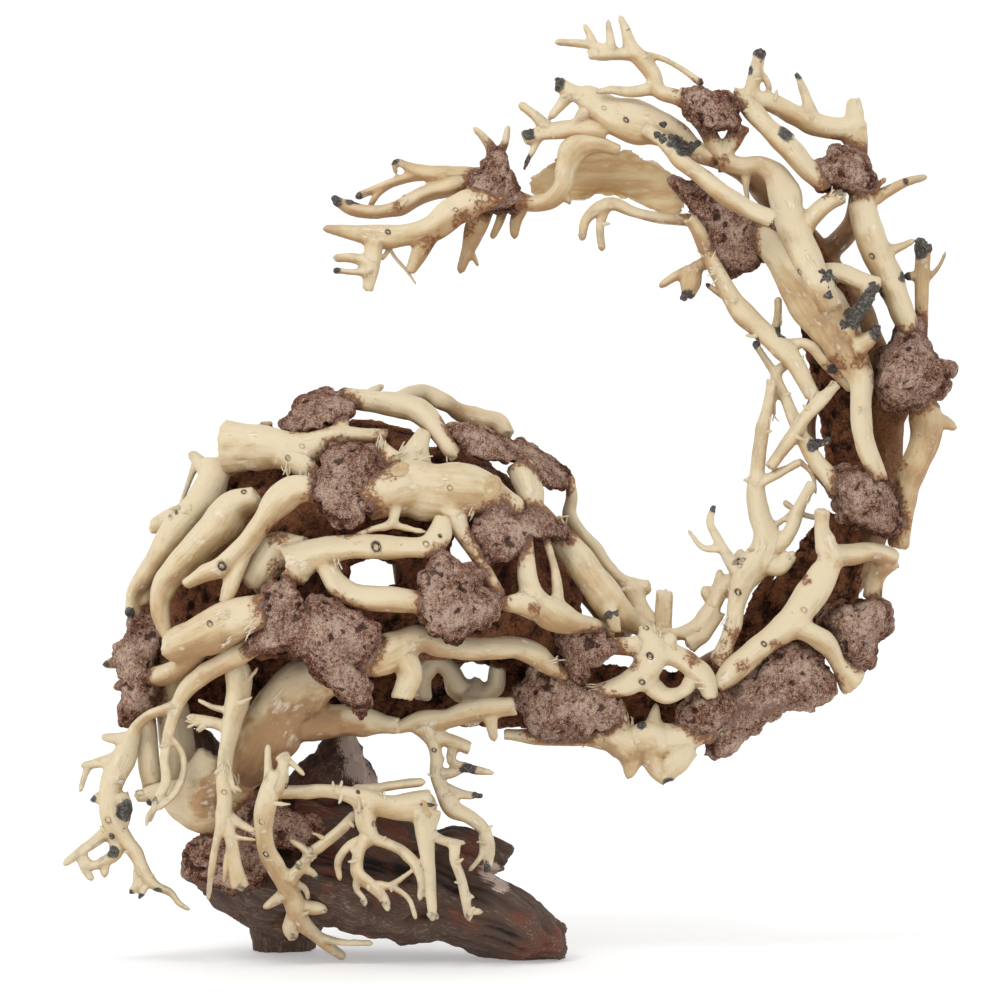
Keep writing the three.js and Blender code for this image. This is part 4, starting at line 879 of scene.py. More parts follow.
@dataclass
class Keel(RootCluster):
    """The elbow at the lower right, the keel and the belly with the claw that hangs from it."""

    roots: Roots = field(default_factory=lambda: {
        "y_root": [limb(-24, (156,225,2.8), (156,215,3.4), (158,207,4.6), (160,199,6), (157,193,6.8),
          (152,185,7), (146,176,7), (139,167,6.6), (130,160,6.2), (120,152,6), (111,144,6), (104,137,5)),
          limb(-24, (159,202,5.4), (171,203,5,-18), (182,204,5,-12), (192,201,4.8,-8)),
          limb(-24, (142,167,5), (151,163,5), (159,157,5,-20), (164,149,4,-16), (172,138,7,-10)),
          limb(-8, (190,200,4.8), (183,191,5,-4), (181,180,4.6,-4))],
        "pelvis_root": [limb(-30, (40,133,3.4), (52,135.5,5), (63,140,7.5), (70,148,8.5), (71,158,6.5),
          (67,167,3)), limb(-30, (72,155,6), (82,152,5.2), (90,147,5.4), (97,141,5.6), (100,131,4.6)),
          limb(-30, (68,140,5), (78,132,3.8), (86,134,3), (92,142,4)), limb(-30, (76,155,4), (81,162,2.8)),
          limb(-30, (67,157,5), (56,157,4.6), (46,157,4.2))],
        "keel_root": [limb(-20, (-3,113,2.4), (12,111.5,4), (27,110.5,4.2), (41,111,5.2), (53,110,8),
          (60,104,7), (60,97,4.4), (59,91,1.8)), limb(-21, (52,110,6), (56,121,3.4), (56,129,1.5)),
          limb(-20, (60,108,6), (72,110,8.5), (71,102,6.5), (73,95,4.4), (78,89,2.4)),
          limb(-20, (72,113,6.4), (72,120,3.6), (73,128,1.6)), limb(-20, (74,110,7), (86,111,7.4),
          (97,113,5.4), (103,121,4), (105,129,2.6)), limb(-20, (88,108,6), (83,100,6.6), (78,93,4.4)),
          limb(-20, (98,113,5), (112,120,4.6), (122,127,7), (131,131,7), (140,132,4.6))],
        "belt_root": [limb(-48, (-78,147,4,-78), (-66,152,8,-74), (-54,158,7.4,-68), (-44,161,6,-64),
          (-36,158,5,-58), (-24,156,5.2,-52), (-10,155.5,5.6,-46), (3,156,5.6,-42), (11,153,5.6,-40),
          (18,148,5,-37), (27,142,4,-34)), limb(-70, (-55,153,5.4), (-50,143,5), (-54,131,5))],
        "belly_root": [limb(-36, (-57,116,2.6), (-44,120,5), (-32,120.5,5.4), (-21,124,6), (-11,126,5.6),
          (2,127,4.4)), limb(-36, (-10,121,3), (-8,110,1.8)), limb(-36, (-43,117,4.8), (-38.5,109,3.6),
          (-37,101,3.1), (-37,93,3.2), (-33.5,84,4), (-29,76,4.6), (-20.5,71.5,3.9), (-13,65,3.2),
          (-10.5,56,2.6), (-11.5,43,1.7)), limb(-36, (-13.5,63,2), (-14.5,52,1.4), (-20.5,44.5,1.2)),
          limb(-36, (-40,112,3.4), (-31,110,3), (-20,106,2.8)), limb(-36, (-28,108,2.1), (-29,99,2.1),
          (-21,96,2.3), (-8,93.5,1.2)), limb(-36, (-37,93.5,2.4), (-29,93.5,2.4), (-24,95.5,2)),
          limb(-36, (-34,86,2.6), (-25,83,2.3), (-14,82,1.6)), limb(-34, (-20,123,5.4), (-17,137,5,-14)),
          limb(-18, (-44,131,3.6), (-43,145,5), (-36,150,4.4), (-30,145,5), (-25,136,6), (-16,133,5),
          (-8,136,4.6), (-6,146,4.4))],
    })
    splinters: Roots = field(default_factory=lambda: {
        "keel_root": [limb(-24, (-46,133,1), (-50,131,0.6)), limb(-24, (42,113,1), (36,106,0.4))],
    })
    charred: Spots = ((80,88,2.8), (-33,130,3.4), (-15,82,3), (-21,95,3), (66,117,1.8), (-12,46,2))
    stained: Spots = (
        (60,150,5), (92,152,5), (148,190,3), (20,111,4), (116,147,4), (134,157,3.6),
    )


@dataclass
class Dome(RootCluster):
    """The dome: sticks that lie over its front from the crown to the rim."""

    roots: Roots = field(default_factory=lambda: {
        "broad_root": [on_front(2, (-74,229,7), (-62,233,11), (-50,236,12.6), (-38,235,12.6), (-26,234,12),
          (-15,232,10.6), (-4,228,7.6), (6,224,4.6)), on_front(0, (-30,226,6), (-24,214,4.6), (-17,203,3.8),
          (-11,192,3.5), (-5,182,3)), on_front(2, (-58,246,6.4), (-66,255,5.4)), on_front(0, (-50,245,7.4),
          (-46,257,4.6), (-43,264,3.2))],
        "dome_top_root": [on_front(0, (-82,281,4), (-70,280,6), (-58,278,7), (-48,275,7), (-40,269,6),
          (-34,261,5), (-28,252,3.8)), limb(6, (-56,279,4,-24), (-50,283,3.4,-14), (-41,283,4,-4),
          (-33,279,4), (-24,273,4.2,10), (-14,270,5,10), (-6,269,5,8), (-1,263,3.4,4))],
        "dome_cut_root": [on_front(0, (-141,257,9.4), (-128,257,9.8), (-113,256,8.5), (-99,257,6.6),
          (-87,262,5), (-75,262,4), (-62,262,3.4)), on_front(0, (-113,253,6), (-104,247,4.5), (-95,241,3)),
          on_front(0, (-86,261,4), (-84,272,3.6))],
        "h_root": [on_front(0, (7,212,3.8), (8,200,4.4), (9,190,5), (12,181,6), (19,174,7.2), (30,169,6.2),
          (40,167,4.4), (50,163,3.4)), on_front(2, (5,247,5.4), (9,237,6.6), (12,227,5), (16,217,2.6),
          (20,204,2.1), (23,192,2.4), (24,177,4)), on_front(0, (12,178,6), (3,178,4.4), (-7,178,3))],
        "outer_root": [limb(-6, (30,241,2.4), (31,231,3.4), (30,223,4), (35,214,4), (42,206,4.2),
          (48,197,4), (55,190,4), (62,186.5,4.4), (70,186.5,3.4)), limb(-8, (60,186,4.2), (65,176,4),
          (70,168,4)), limb(-30, (22,220,3), (26,211,5.4), (33,202,6.8,-32), (41,191,7.2,-32),
          (48,182,8,-28), (55,174,7,-22), (62,168,5,-14), (71,165,3.6,-9)), limb(-30, (48,177,4),
          (51,172,3.4,-34), (53,164,2.4,-34))],
        "mid_root": [on_front(3, (-109,197,8), (-98,203,6.6), (-84,206,6), (-67,206.5,6), (-52,206,5.6),
          (-41,207,5.6), (-36,213,6), (-34,221,4)), on_front(3, (-108,196,6.6), (-104,189,3.6)),
          on_front(-4, (-106,204,6), (-116,207,6.4), (-123,197,7), (-130,187,5)), on_front(3, (-93,201,4),
          (-89,191,4.6), (-80,183,5.6), (-66,180,6), (-52,179.5,6), (-41,178,4.6))],
        "left_outer_root": [on_front(-10, (-146,248,6), (-149,238,7.2), (-155,228,7.5), (-163,219,8),
          (-170,210,7.4), (-176,201,6.2), (-182,193,5.2), (-188,184,4), (-190,173,3)),
          limb(-30, (-163,219,6), (-171,219.5,5,-22), (-179,216.5,2.8,-18)), limb(-26, (-149,239,5.6),
          (-154,248,4,-22), (-159,253,2.6,-18)), limb(-22, (-185,189,4), (-183,180,4.2), (-180,188,3.4)),
          limb(-22, (-187,178,3.4), (-186,152,4,-26), (-183,126,5,-28), (-181,112,6), (-180.5,98,6.2),
          (-179,87,5.2))],
        "left_upper_root": [on_front(2, (-126,231,4.6), (-137,227,8), (-146,217,9.4), (-155,207,8.8),
          (-164,198,8), (-172,189,7), (-175,179,5.6), (-174,169,4.4), (-171,161,3)),
          limb(-27, (-172,166,3.6), (-171,146,5,-20), (-169,126,6.8,-16), (-167,110,7.8), (-166,96,7.8),
          (-167,86,6.4))],
        "hook_root": [on_front(10, (-98,235,4), (-108,235,6.4), (-116,229,6.4), (-123,220,5.2),
          (-130,211,4.8), (-137,203,5), (-144,197,5), (-153,193,4.2), (-162,188,3)),
          on_front(7, (-131,209,4), (-136,197,4.4), (-140,186,4), (-143,178,2.4))],
        "big_left_root": [on_front(5, (-121,175,6), (-132,172,8.4), (-145,167,9.2), (-157,161,9.2),
          (-170,156,8)), limb(-60, (-156,160,6.4), (-162,149,5,-52), (-171,143,5,-40), (-183,142,4.6,-26),
          (-194,149,4.2,-18), (-203,147.5,1.8,-14)), limb(-26, (-184,143,4), (-192,138,3.6,-20),
          (-198,136,1.8,-16))],
        "inner_broad_root": [limb(-44, (-86,145,7), (-102,138,12,-40), (-115,124,13.6,-36), (-124,109,13.4),
          (-131,97,10), (-137,87,6)), limb(-30, (-56,117,3.4,-40), (-68,119,6.4,-36), (-82,120,8.6),
          (-96,118,8), (-110,116,6)), limb(-34, (-134,90,7), (-144,82,11.5), (-153,78,13), (-162,79,10),
          (-171,83,6.4), (-180,83,4.2), (-187,81,2.4)), limb(-34, (-150,103,4), (-155,94,7), (-158,82,9))],
    })
    twigs: Roots = field(default_factory=lambda: {
        "left_outer_root": [limb(-20, (-156,251,2.2), (-159,243,1.6), (-162,235,1.2), (-165,227,1))],
        "broad_root": [on_front(4, (-57,226,2.6), (-59,219,2.5), (-70,215,1.6), (-80,211,1.1)),
          on_front(4, (-59,218,1.8), (-48,215,1.4), (-42,214,1.1))],
        "dome_top_root": [on_front(0, (-74,280,3), (-69,284,2.4), (-64,287,1.4))],
    })
    charred: Spots = ((-190,173,2.6), (-203,147,2.2))
    # painted shade: the inner broad root darkened to tan and umber where it lies in shadow inside the
    # hollow
    painted_shade_spots: Spots = ((-118,102,20), (-97,112,16), (-128,96,12), (-150,82,8))
    stained: Spots = ((-117,213,6), (-117,195,5), (-60,246,5), (-64,262,5), (12,176,4))


@dataclass
class HangingRoots(RootCluster):
    """The thin roots that hang down in front of the base."""

    shaping: Shaping = Shaping(fillet=0.4, flare=0.2, rounds=12)
    roots: Roots = field(default_factory=lambda: {
        "claw_left": [limb(-70, (-120,161,3.4), (-131,155,4.6,-66), (-143,149,5,-62), (-153,143,4.6,-58),
          (-161,136.5,4.2,-54), (-166,128.5,3.4,-50), (-168.6,120.5,2.9), (-171,111,2.6),
          (-172.7,100.5,2.3), (-172,89,2.4), (-176,81,1.9), (-180.5,69,1.2)), limb(-50, (-170,111,2.3),
          (-165,105.5,2.1), (-162.8,97,2), (-164.5,89,2), (-169.8,81,2.1), (-176.5,75.5,1.8)),
          limb(-50, (-167,127,2.9), (-172,125.5,2.6,-48), (-180.4,122.5,2.5,-44), (-186.5,117,2.6,-40),
          (-190,108,4.4,-36), (-193.5,100,6.2), (-198,91,5.9), (-200.5,80,5), (-198.5,69,5.2),
          (-192,60.5,4.2), (-186,51,3.7), (-181.5,42,3.6), (-177,37,3), (-170,34,2), (-165,28,1.6),
          (-160,25,1.1)), limb(-36, (-189,111,3), (-196,110.5,2.8), (-204,111.5,1.9)),
          limb(-36, (-196,101,4), (-204,99,2.7), (-214,97,1.8)), limb(-36, (-201,82,3.4), (-209,80,2.2)),
          limb(-36, (-196,82,4), (-192.5,76,3.6), (-193,68,2.4)), limb(-36, (-200,65,3.6), (-208,59,2.8),
          (-215,54,2.6), (-223,48,2)), limb(-36, (-199,63,3.2), (-197,54,3.8), (-202,50,2.8),
          (-209,47.5,2.2), (-214,52,2.4)), limb(-36, (-215,53,2.2), (-213,46,2), (-209,40,1.6)),
          limb(-36, (-202,51,2.4), (-203,42,2)), limb(-36, (-183,42,2.6), (-190,33,1.4)),
          limb(-36, (-181,40,2.4), (-185,31,1.2))],
        "claw_centre": [limb(-56, (-138,149,4.4), (-136,142,5.6), (-136,134,5.4), (-138,123,5),
          (-140.4,111.5,4.4), (-142.8,99.5,4), (-143.4,89,4), (-142.8,79.5,4), (-143.5,70,3.4),
          (-146.5,60.5,2.3), (-148.5,50,1.9), (-151,30,1.2)), limb(-56, (-143,74,3.4), (-139.5,59,3),
          (-137.5,47,3.2), (-135,36.5,3.8)), limb(-56, (-139.5,57,1.9), (-141.8,49,1.5), (-143,38,1.1)),
          limb(-55, (-141,116,3.2), (-148,118.5,3.2), (-155,119.5,3.4), (-161,121.5,2.2)),
          limb(-56, (-142,73,2.4), (-133,67,1.9), (-127,64,1.4)), limb(-57, (-140,124.5,2.2),
          (-148.5,126.5,1.4), (-156,130,1.2))],
        "claw_front": [limb(-62, (-118,94,3.4), (-121,82,5), (-123,71,4.7,-58), (-122.5,59,4.4,-54),
          (-118,48,4.5,-50), (-112,38,4.6,-45), (-108,29,4.5,-40), (-105,20,4.2,-35), (-98,13,3.2,-30),
          (-91,7,2.7,-24), (-83,1.4,2.2,-17)), limb(-28, (-97,12,2.5), (-85,9,2.1), (-69,8.5,1.9)),
          limb(-43, (-111,34,3.2), (-117,30,2.6), (-123,26,1.6)), limb(-36, (-107,23,3.8), (-110,15,3.2),
          (-108,11,2.5)), limb(-47, (-111,39,3.6), (-104,47,3), (-99,54,2.7), (-91,60,2.7), (-83,67,2.7),
          (-77,74,2)), limb(-48, (-99,52,2.6), (-105,57,2), (-110,60,1.3)), limb(-47, (-105,46,2.2),
          (-98,43,1.6), (-96,40,1.1)), limb(-44, (-109,39,2.4), (-102,35,1.5), (-101,30,1.2)),
          limb(-38, (-103,27,2.8), (-96,26,3), (-92,25,2)), limb(-62, (-119,85,4.2), (-114.5,90,3.2),
          (-113.5,97,2.4), (-111.8,103,1.6), (-117,100,1.1)), limb(-62, (-112.2,101,1.6), (-107.5,97,1.4),
          (-103,92.5,1.2)), limb(-62, (-120,87,3.2), (-121,97,2), (-121,107.5,1.3))],
        "cross_root": [limb(-52, (-118,84,3.4,-58), (-105,84,3.4,-52), (-92,84.5,3.5), (-81,83,4.2),
          (-70,79,5.4), (-58,76.5,5.8), (-48,77.5,6.2), (-40,78,6.2)), limb(-50, (-78,85,2.6),
          (-65,86.2,2.4), (-54,88,2.5), (-43,89,2.2)), limb(-52, (-42,74,5.6), (-42.5,66,4.7), (-42,55,3.7),
          (-40,42,3), (-39.5,30,2.6), (-38.6,20,2)), limb(-52, (-41.5,64,2.8), (-34,60,2.3), (-28.6,58,2.6),
          (-27.7,50,2.8), (-24.5,41,2.6), (-22.3,31,2.5), (-21,21,2)), limb(-53, (-34,60,1.9),
          (-22.5,58.5,1.3)), limb(-52, (-22.5,32,1.7), (-18,31.5,1.2)), limb(-52, (-21.2,24.5,1.9),
          (-14,24,1.3)), limb(-52, (-72,78,5), (-71,66,4), (-68,61,2.8), (-62,58.5,2.5), (-54,54.5,2.6),
          (-47,47,2.5), (-44.5,40,2.1), (-45,30,1.4)), limb(-52, (-69,60,2.2), (-74,56,1.8), (-79,54,1.4)),
          limb(-50, (-72,61,2.4), (-80,57.5,2), (-86,48.5,1.7), (-85,40,1.3)), limb(-52, (-72,62,3),
          (-76,51,3), (-76,43.5,3.4), (-70,38,3.1), (-63.5,31.5,2.3), (-61,26.5,1.5)),
          limb(-52, (-75.5,43,2.4), (-77,36.5,1.8), (-72,29.5,1.3)), limb(-52, (-67,38,2.2), (-58,36,1.7),
          (-51,31,1.5), (-47,20.5,1.2)), limb(-52, (-60,37,1.6), (-54,41,1.3), (-48.5,45,1.1))],
    })
    twigs: Roots = field(default_factory=lambda: {
        "claw_centre": [limb(-58, (-144,104,2), (-143,99,1.6), (-140,92,1.3), (-137,83,1)),
          limb(-56, (-139,62,1.8), (-135,61,1.3), (-127,60,1))],
        "claw_left": [limb(-36, (-210,98,1.8), (-212,94,1.6), (-215,84,1.2)), limb(-36, (-186,50,1.8),
          (-187,44,1.4), (-188,36,1)), limb(-52, (-178,76,1.6), (-181,72,1.2), (-182,67,1))],
    })
    charred: Spots = (
        (-210,80,2.4), (-192,75,4.4), (-198,54,2.6), (-185,31,2), (-190,33,1.8), (-176,34,1.6),
        (-64,28,1.6), (-96,40,1.8),
    )


@dataclass
class BackRoots(RootCluster):
    """Roots on the far side, which carry the shell of the piece there."""

    roots: Roots = field(default_factory=lambda: {
        "back_dome_root_a": [on_back(-7, (-172,200,4.4), (-155,222,7), (-125,232,9), (-92,236,10.5),
          (-58,238,9), (-28,240,6)), on_back(-7, (-104,235,7), (-97,205,8.5), (-95,172,8), (-86,134,6)),
          on_back(-7, (-146,226,6), (-152,196,7), (-158,162,6.4), (-160,122,4)), on_back(-6, (-96,192,5),
          (-116,168,6), (-128,132,5)), on_back(-8, (-152,200,5), (-130,190,6), (-112,196,5), (-98,200,5)),
          on_back(-8, (-158,160,5), (-176,152,4.4), (-190,136,2.6)), on_back(-7, (-120,233,5), (-126,250,5),
          (-122,268,3.4))],
        "back_dome_root_b": [on_back(-7, (-110,268,5), (-80,258,7), (-45,246,6.6), (-12,240,6.4),
          (14,222,7), (36,190,7), (58,162,5)), on_back(-7, (-2,238,5), (-2,202,7), (-20,174,7), (-44,152,6),
          (-62,128,4)), on_back(-7, (-22,172,5), (-4,166,6.4), (30,146,7), (70,130,7), (104,134,5)),
          on_back(-7, (-46,247,6), (-56,222,6.4), (-52,196,6), (-48,170,5), (-36,158,4)),
          on_back(-7, (22,212,5), (20,188,5), (8,162,5)), on_back(-7, (-50,172,4), (-66,170,4.4),
          (-78,160,3))],
        "back_column_root": [limb(24, (98,118,4.6), (128,138,8), (156,170,9), (178,208,8.6), (188,248,8),
          (184,292,8.6), (166,332,8.6), (142,366,7), (112,396,5,14), (84,404,3.4,8)), limb(24, (186,262,6),
          (200,285,5,18), (206,304,3.6,12)), limb(26, (164,180,6), (140,176,5), (114,158,4), (92,146,3)),
          limb(24, (180,300,5), (162,292,4.4), (150,270,4), (154,246,3.4), (172,226,3)),
          limb(24, (154,350,6), (170,366,5,18), (174,388,4,8)), limb(24, (146,362,5), (128,352,4.4,18),
          (112,356,4,10))],
    })
    charred: Spots = ((-190,136,4),)
    stained: Spots = ((188,262,16), (186,240,12), (-20,172,16), (-66,190,12))
    # painted shade: the back roots darkened all over, as they lie in shade behind the front
    painted_shade_spots: Spots = ((-60,170,150), (180,280,90), (120,160,70))


Colour = tuple[float, float, float, float]


def paint(red: int, green: int, blue: int) -> Colour:
    """Turns a colour as it shows on a screen, 0 to 255, into the linear one that a shader takes."""
    shown = np.array([red, green, blue]) / 255
    linear = np.where(shown <= 0.04045, shown / 12.92, ((shown + 0.055) / 1.055) ** 2.4)
    return (*map(float, linear), 1.0)


class Sock:
    """A value on its way through a shader, which takes part in plain arithmetic."""

    def __init__(self, tree: "Tree", socket: bpy.types.NodeSocket | None) -> None:
        """Keeps the socket and the tree it is in."""
        self.tree, self.socket = tree, socket

    def maths(self, operation: str, first: "Sock | float", second: "Sock | float") -> "Sock":
        """Adds a Math node."""
        return self.tree.add("ShaderNodeMath", {"operation": operation}, {0: first, 1: second})

    def __add__(self, other: "Sock | float") -> "Sock":
        """Adds."""
        return self.maths("ADD", self, other)

    __radd__ = __add__

    def __sub__(self, other: "Sock | float") -> "Sock":
        """Subtracts."""
        return self.maths("SUBTRACT", self, other)

    def __rsub__(self, other: float) -> "Sock":
        """Subtracts from a number."""
        return self.maths("SUBTRACT", other, self)

    def __mul__(self, other: "Sock | float") -> "Sock":
        """Multiplies."""
        return self.maths("MULTIPLY", self, other)

    __rmul__ = __mul__

    def between(self, low: float, high: float) -> "Sock":
        """Turns a range of the value into a soft step from 0 to 1, or from 1 to 0 if low > high."""
        turned = low > high
        return self.tree.add("ShaderNodeMapRange", {"interpolation_type": "SMOOTHSTEP", "clamp": True}, {
            0: self, 1: min(low, high), 2: max(low, high), 3: float(turned), 4: float(not turned)})


class Tree:
    """The node tree of one material."""

    def __init__(self, name: str, colour: Colour) -> None:
        """Makes the material.

        Args:
            name: its name.
            colour: the ground colour that the others are laid over.
        """
        self.material = bpy.data.materials.new(name)
        self.material.use_nodes = True
        self.nodes, self.links = self.material.node_tree.nodes, self.material.node_tree.links
        self.nodes.clear()
        self.colour: Sock | Colour = colour
        self.place = self.add("ShaderNodeTexCoord", output="Object")

    def add(self, kind: str, settings: dict | None = None, sockets: dict | None = None,
            output: int | str = 0) -> Sock:
        """Adds a node.

        Args:
            kind: the node's type.
            settings: its settings, which are set first.
            sockets: the values or links of its sockets.
            output: which of its outputs to go on with.

        Returns:
            That output, which is empty for the last node.
        """
        node = self.nodes.new(kind)
        for name, value in (settings or {}).items():
            setattr(node, name, value)
        for key, value in (sockets or {}).items():
            if isinstance(value, Sock):
                self.links.new(value.socket, node.inputs[key])
            else:
                node.inputs[key].default_value = value
        return Sock(self, node.outputs[output] if len(node.outputs) else None)

    def stored(self, name: str, output: str = "Fac") -> Sock:
        """Reads what is stored on the points of the mesh."""
        return self.add("ShaderNodeAttribute", {"attribute_name": name}, output=output)

    def noise(self, size: float, detail: float = 3, rough: float = 0.55, on: Sock | None = None) -> Sock:
        """Gives noise from 0 to 1 with features of a size in millimetres."""
        scale = 1 / size if on else 1 / (size * MM)
        return self.add("ShaderNodeTexNoise", {"normalize": True}, {
            "Vector": on or self.place, "Scale": scale, "Detail": detail, "Roughness": rough})

    def cells(self, size: float) -> Sock:
        """Gives the distance from the middle of cells of a size in millimetres."""
        return self.add("ShaderNodeTexVoronoi", {"feature": "F1"}, {
            "Vector": self.place, "Scale": 1 / (size * MM)}, "Distance")

    def mixed(self, share: "Sock | float", first: "Sock | Colour", second: "Sock | Colour") -> Sock:
        """Mixes two colours by the share of the second."""
        return self.add("ShaderNodeMix", {"data_type": "RGBA"}, {0: share, 6: first, 7: second}, 2)

    def over(self, share: "Sock | float", colour: "Sock | Colour") -> None:
        """Lays a colour over what the surface has so far."""
        self.colour = self.mixed(share, self.colour, colour)

    def channels(self, name: str) -> list[Sock]:
        """Splits a stored colour into its four channels."""
        colour = self.stored(name, "Color")
        split = [self.add("ShaderNodeSeparateColor", {}, {0: colour}, channel) for channel in range(3)]
        return [*split, self.stored(name, "Alpha")]

    def finished(self, roughness: "Sock | float", height: Sock, depth: float,
                 specular: float) -> bpy.types.Material:
        """Ends the tree in one surface of the colours laid so far.

        Args:
            roughness: its roughness.
            height: its fine relief, from 0 to 1.
            depth: how deep that relief is, in millimetres.
            specular: how strongly it shines, the same all over.

        Returns:
            The material.
        """
        bump = self.add("ShaderNodeBump", {}, {
            "Strength": 1.0, "Distance": depth * MM, "Height": height})
        surface = self.add("ShaderNodeBsdfPrincipled", {}, {
            "Base Color": self.colour, "Roughness": roughness, "Normal": bump,
            "Specular IOR Level": specular})
        self.add("ShaderNodeOutputMaterial", {}, {"Surface": surface})
        return self.material


@dataclass(frozen=True)
class PeeledWood:
    """Pale root wood without its bark: cream, with lengthwise streaks, stains and dark tips, and painted
    shade in tan and umber on its undersides, its far parts and its forks.
    """

    cream: Colour = paint(212, 196, 165)
    chalk: Colour = paint(230, 220, 200)
    straw: Colour = paint(194, 168, 128)
    tan: Colour = paint(160, 122, 84)
    umber: Colour = paint(108, 74, 48)
    grey: Colour = paint(150, 140, 122)
    amber: Colour = paint(166, 112, 70)
    rust: Colour = paint(104, 58, 37)
    char: Colour = paint(46, 44, 45)
    ash: Colour = paint(118, 114, 110)
    mauve: Colour = paint(172, 142, 130)
    pit: Colour = paint(82, 52, 42)
    specular: float = 0.3

    def material(self) -> bpy.types.Material:
        """Builds the finish."""
        tree = Tree("peeled_wood", self.cream)
        grain, warmth_and_shade, hollow = tree.stored("grain", "Vector"), tree.stored("warmth_and_shade"), tree.stored("hollow")
        char, rust, cut, thin = tree.channels("tone")
        streak = tree.noise(2.0, 4, 0.6, grain)
        fine = tree.noise(0.5, 3, 0.6, grain)
        split = tree.noise(2.8, 3, 0.5, grain)
        patch = tree.noise(9, 3)
        grit = tree.noise(1.0, 4, 0.7)
        fleck = tree.noise(2.2, 3, 0.6)
        # painted shade: tan and umber laid by the stored warm tone and the crevice depth, mixed with
        # patches and streaks of tone that differs at random
        warm_and_shade = warmth_and_shade + 0.6 * (patch - 0.5) + 0.6 * (streak - 0.5) + 0.55 * hollow
        tree.over(warm_and_shade.between(0.05, 0.6), self.straw)
        tree.over(warm_and_shade.between(0.42, 0.95) * 0.85, self.tan)
        tree.over(warm_and_shade.between(1.0, 1.7) * 0.75, self.umber)
        tree.over((patch + 0.5 * (streak - 0.5)).between(0.6, 0.74) * 0.6, self.chalk)
        tree.over(fine.between(0.58, 0.76) * 0.16, self.tan)
        tree.over(thin * patch.between(0.42, 0.62) * 0.4, self.grey)
        line = split.between(0.47, 0.495) * split.between(0.53, 0.505) * patch.between(0.52, 0.66)
        tree.over(line * 0.3, self.tan)
        tree.over((fleck + 0.3 * (grit - 0.5)).between(0.7, 0.76) * 0.55, self.tan)
        tree.over(cut * grit.between(0.35, 0.6) * 0.6, self.chalk)
        # rust-brown crumbs by the putty, and painted shade of the forks where the crevice depth drives them
        crumb = (hollow + rust + 0.9 * (fleck - 0.5) + 0.7 * (grit - 0.5)).between(0.55, 0.95)
        tree.over(crumb * patch.between(0.34, 0.56) * 0.75, self.amber)
        near = rust.between(0.0, 0.2)
        stain = rust + 0.7 * (patch - 0.5) * near + 0.5 * (fleck - 0.5) * near
        tree.over(stain.between(0.04, 0.5) * 0.45, self.amber)
        speck = (stain + 1.5 * (grit - 0.5) + 1.1 * (fleck - 0.5)).between(0.34, 0.6)
        tree.over(speck * 0.85, tree.mixed(grit.between(0.42, 0.62), self.rust, self.amber))
        clump = tree.noise(2.6, 8, 0.86)
        film = (stain + 1.1 * (clump - 0.5)).between(0.74, 0.86)
        tree.over(film, tree.mixed(clump.between(0.36, 0.6), self.pit, self.mauve))
        soot = (char + (patch + fleck + grit - 1.5) * char.between(0.0, 0.3)).between(0.1, 0.55)
        black = tree.mixed((grit + 0.5 * (fleck - 0.5)).between(0.46, 0.68), self.char, self.ash)
        tree.over(soot * 0.95, black)
        roughness = 0.5 + 0.15 * fine + 0.25 * stain
        height = 0.25 * fine + 0.35 * streak + 0.15 * grit - 0.3 * line
        height = height + (film + speck + soot + crumb) * grit
        return tree.finished(roughness, height, 0.55, self.specular)


@dataclass(frozen=True)
class SandyPutty:
    """Purple-grey putty full of sand: light grains, dark grit with painted shade in its pits, and rusty
    margins with painted shade on its undersides.
    """

    mauve: Colour = paint(192, 154, 135)
    dusk: Colour = paint(156, 112, 91)
    light: Colour = paint(226, 200, 178)
    pit: Colour = paint(62, 33, 24)
    rust: Colour = paint(126, 76, 50)
    specular: float = 0.2

    def material(self) -> bpy.types.Material:
        """Builds the finish."""
        tree = Tree("sandy_putty", self.pit)
        relief, rim = tree.stored("relief"), tree.stored("rim")
        patch = tree.noise(15, 4, 0.6)
        clump = tree.noise(2.0, 8, 0.88)
        grit = tree.noise(0.7, 3, 0.75)
        worms = tree.noise(3.6, 6, 0.8)
        level = 1.25 * (clump - 0.5) + 0.55 * (patch - 0.5) + 0.75 * (grit - 0.5) + 0.54
        # darker towards the rim: the rusty margin near the outline, and painted shade on the undersides
        level = level - 0.14 * rim.between(0.4, 1.0)
        tree.over(level.between(0.33, 0.41), self.rust)
        tree.over(level.between(0.4, 0.48), self.dusk)
        tree.over(level.between(0.46, 0.57), self.mauve)
        tree.over(level.between(0.55, 0.65) * 0.9, self.light)
        tree.over(worms.between(0.47, 0.495) * worms.between(0.53, 0.505) * patch.between(0.62, 0.45) * 0.6,
                  self.pit)
        # painted shade in the pits, over the putty's own dark grit
        tree.over(relief.between(0.26, 0.0) * 0.8, self.pit)
        return tree.finished(0.9, clump + 0.4 * grit, 2.2, self.specular)


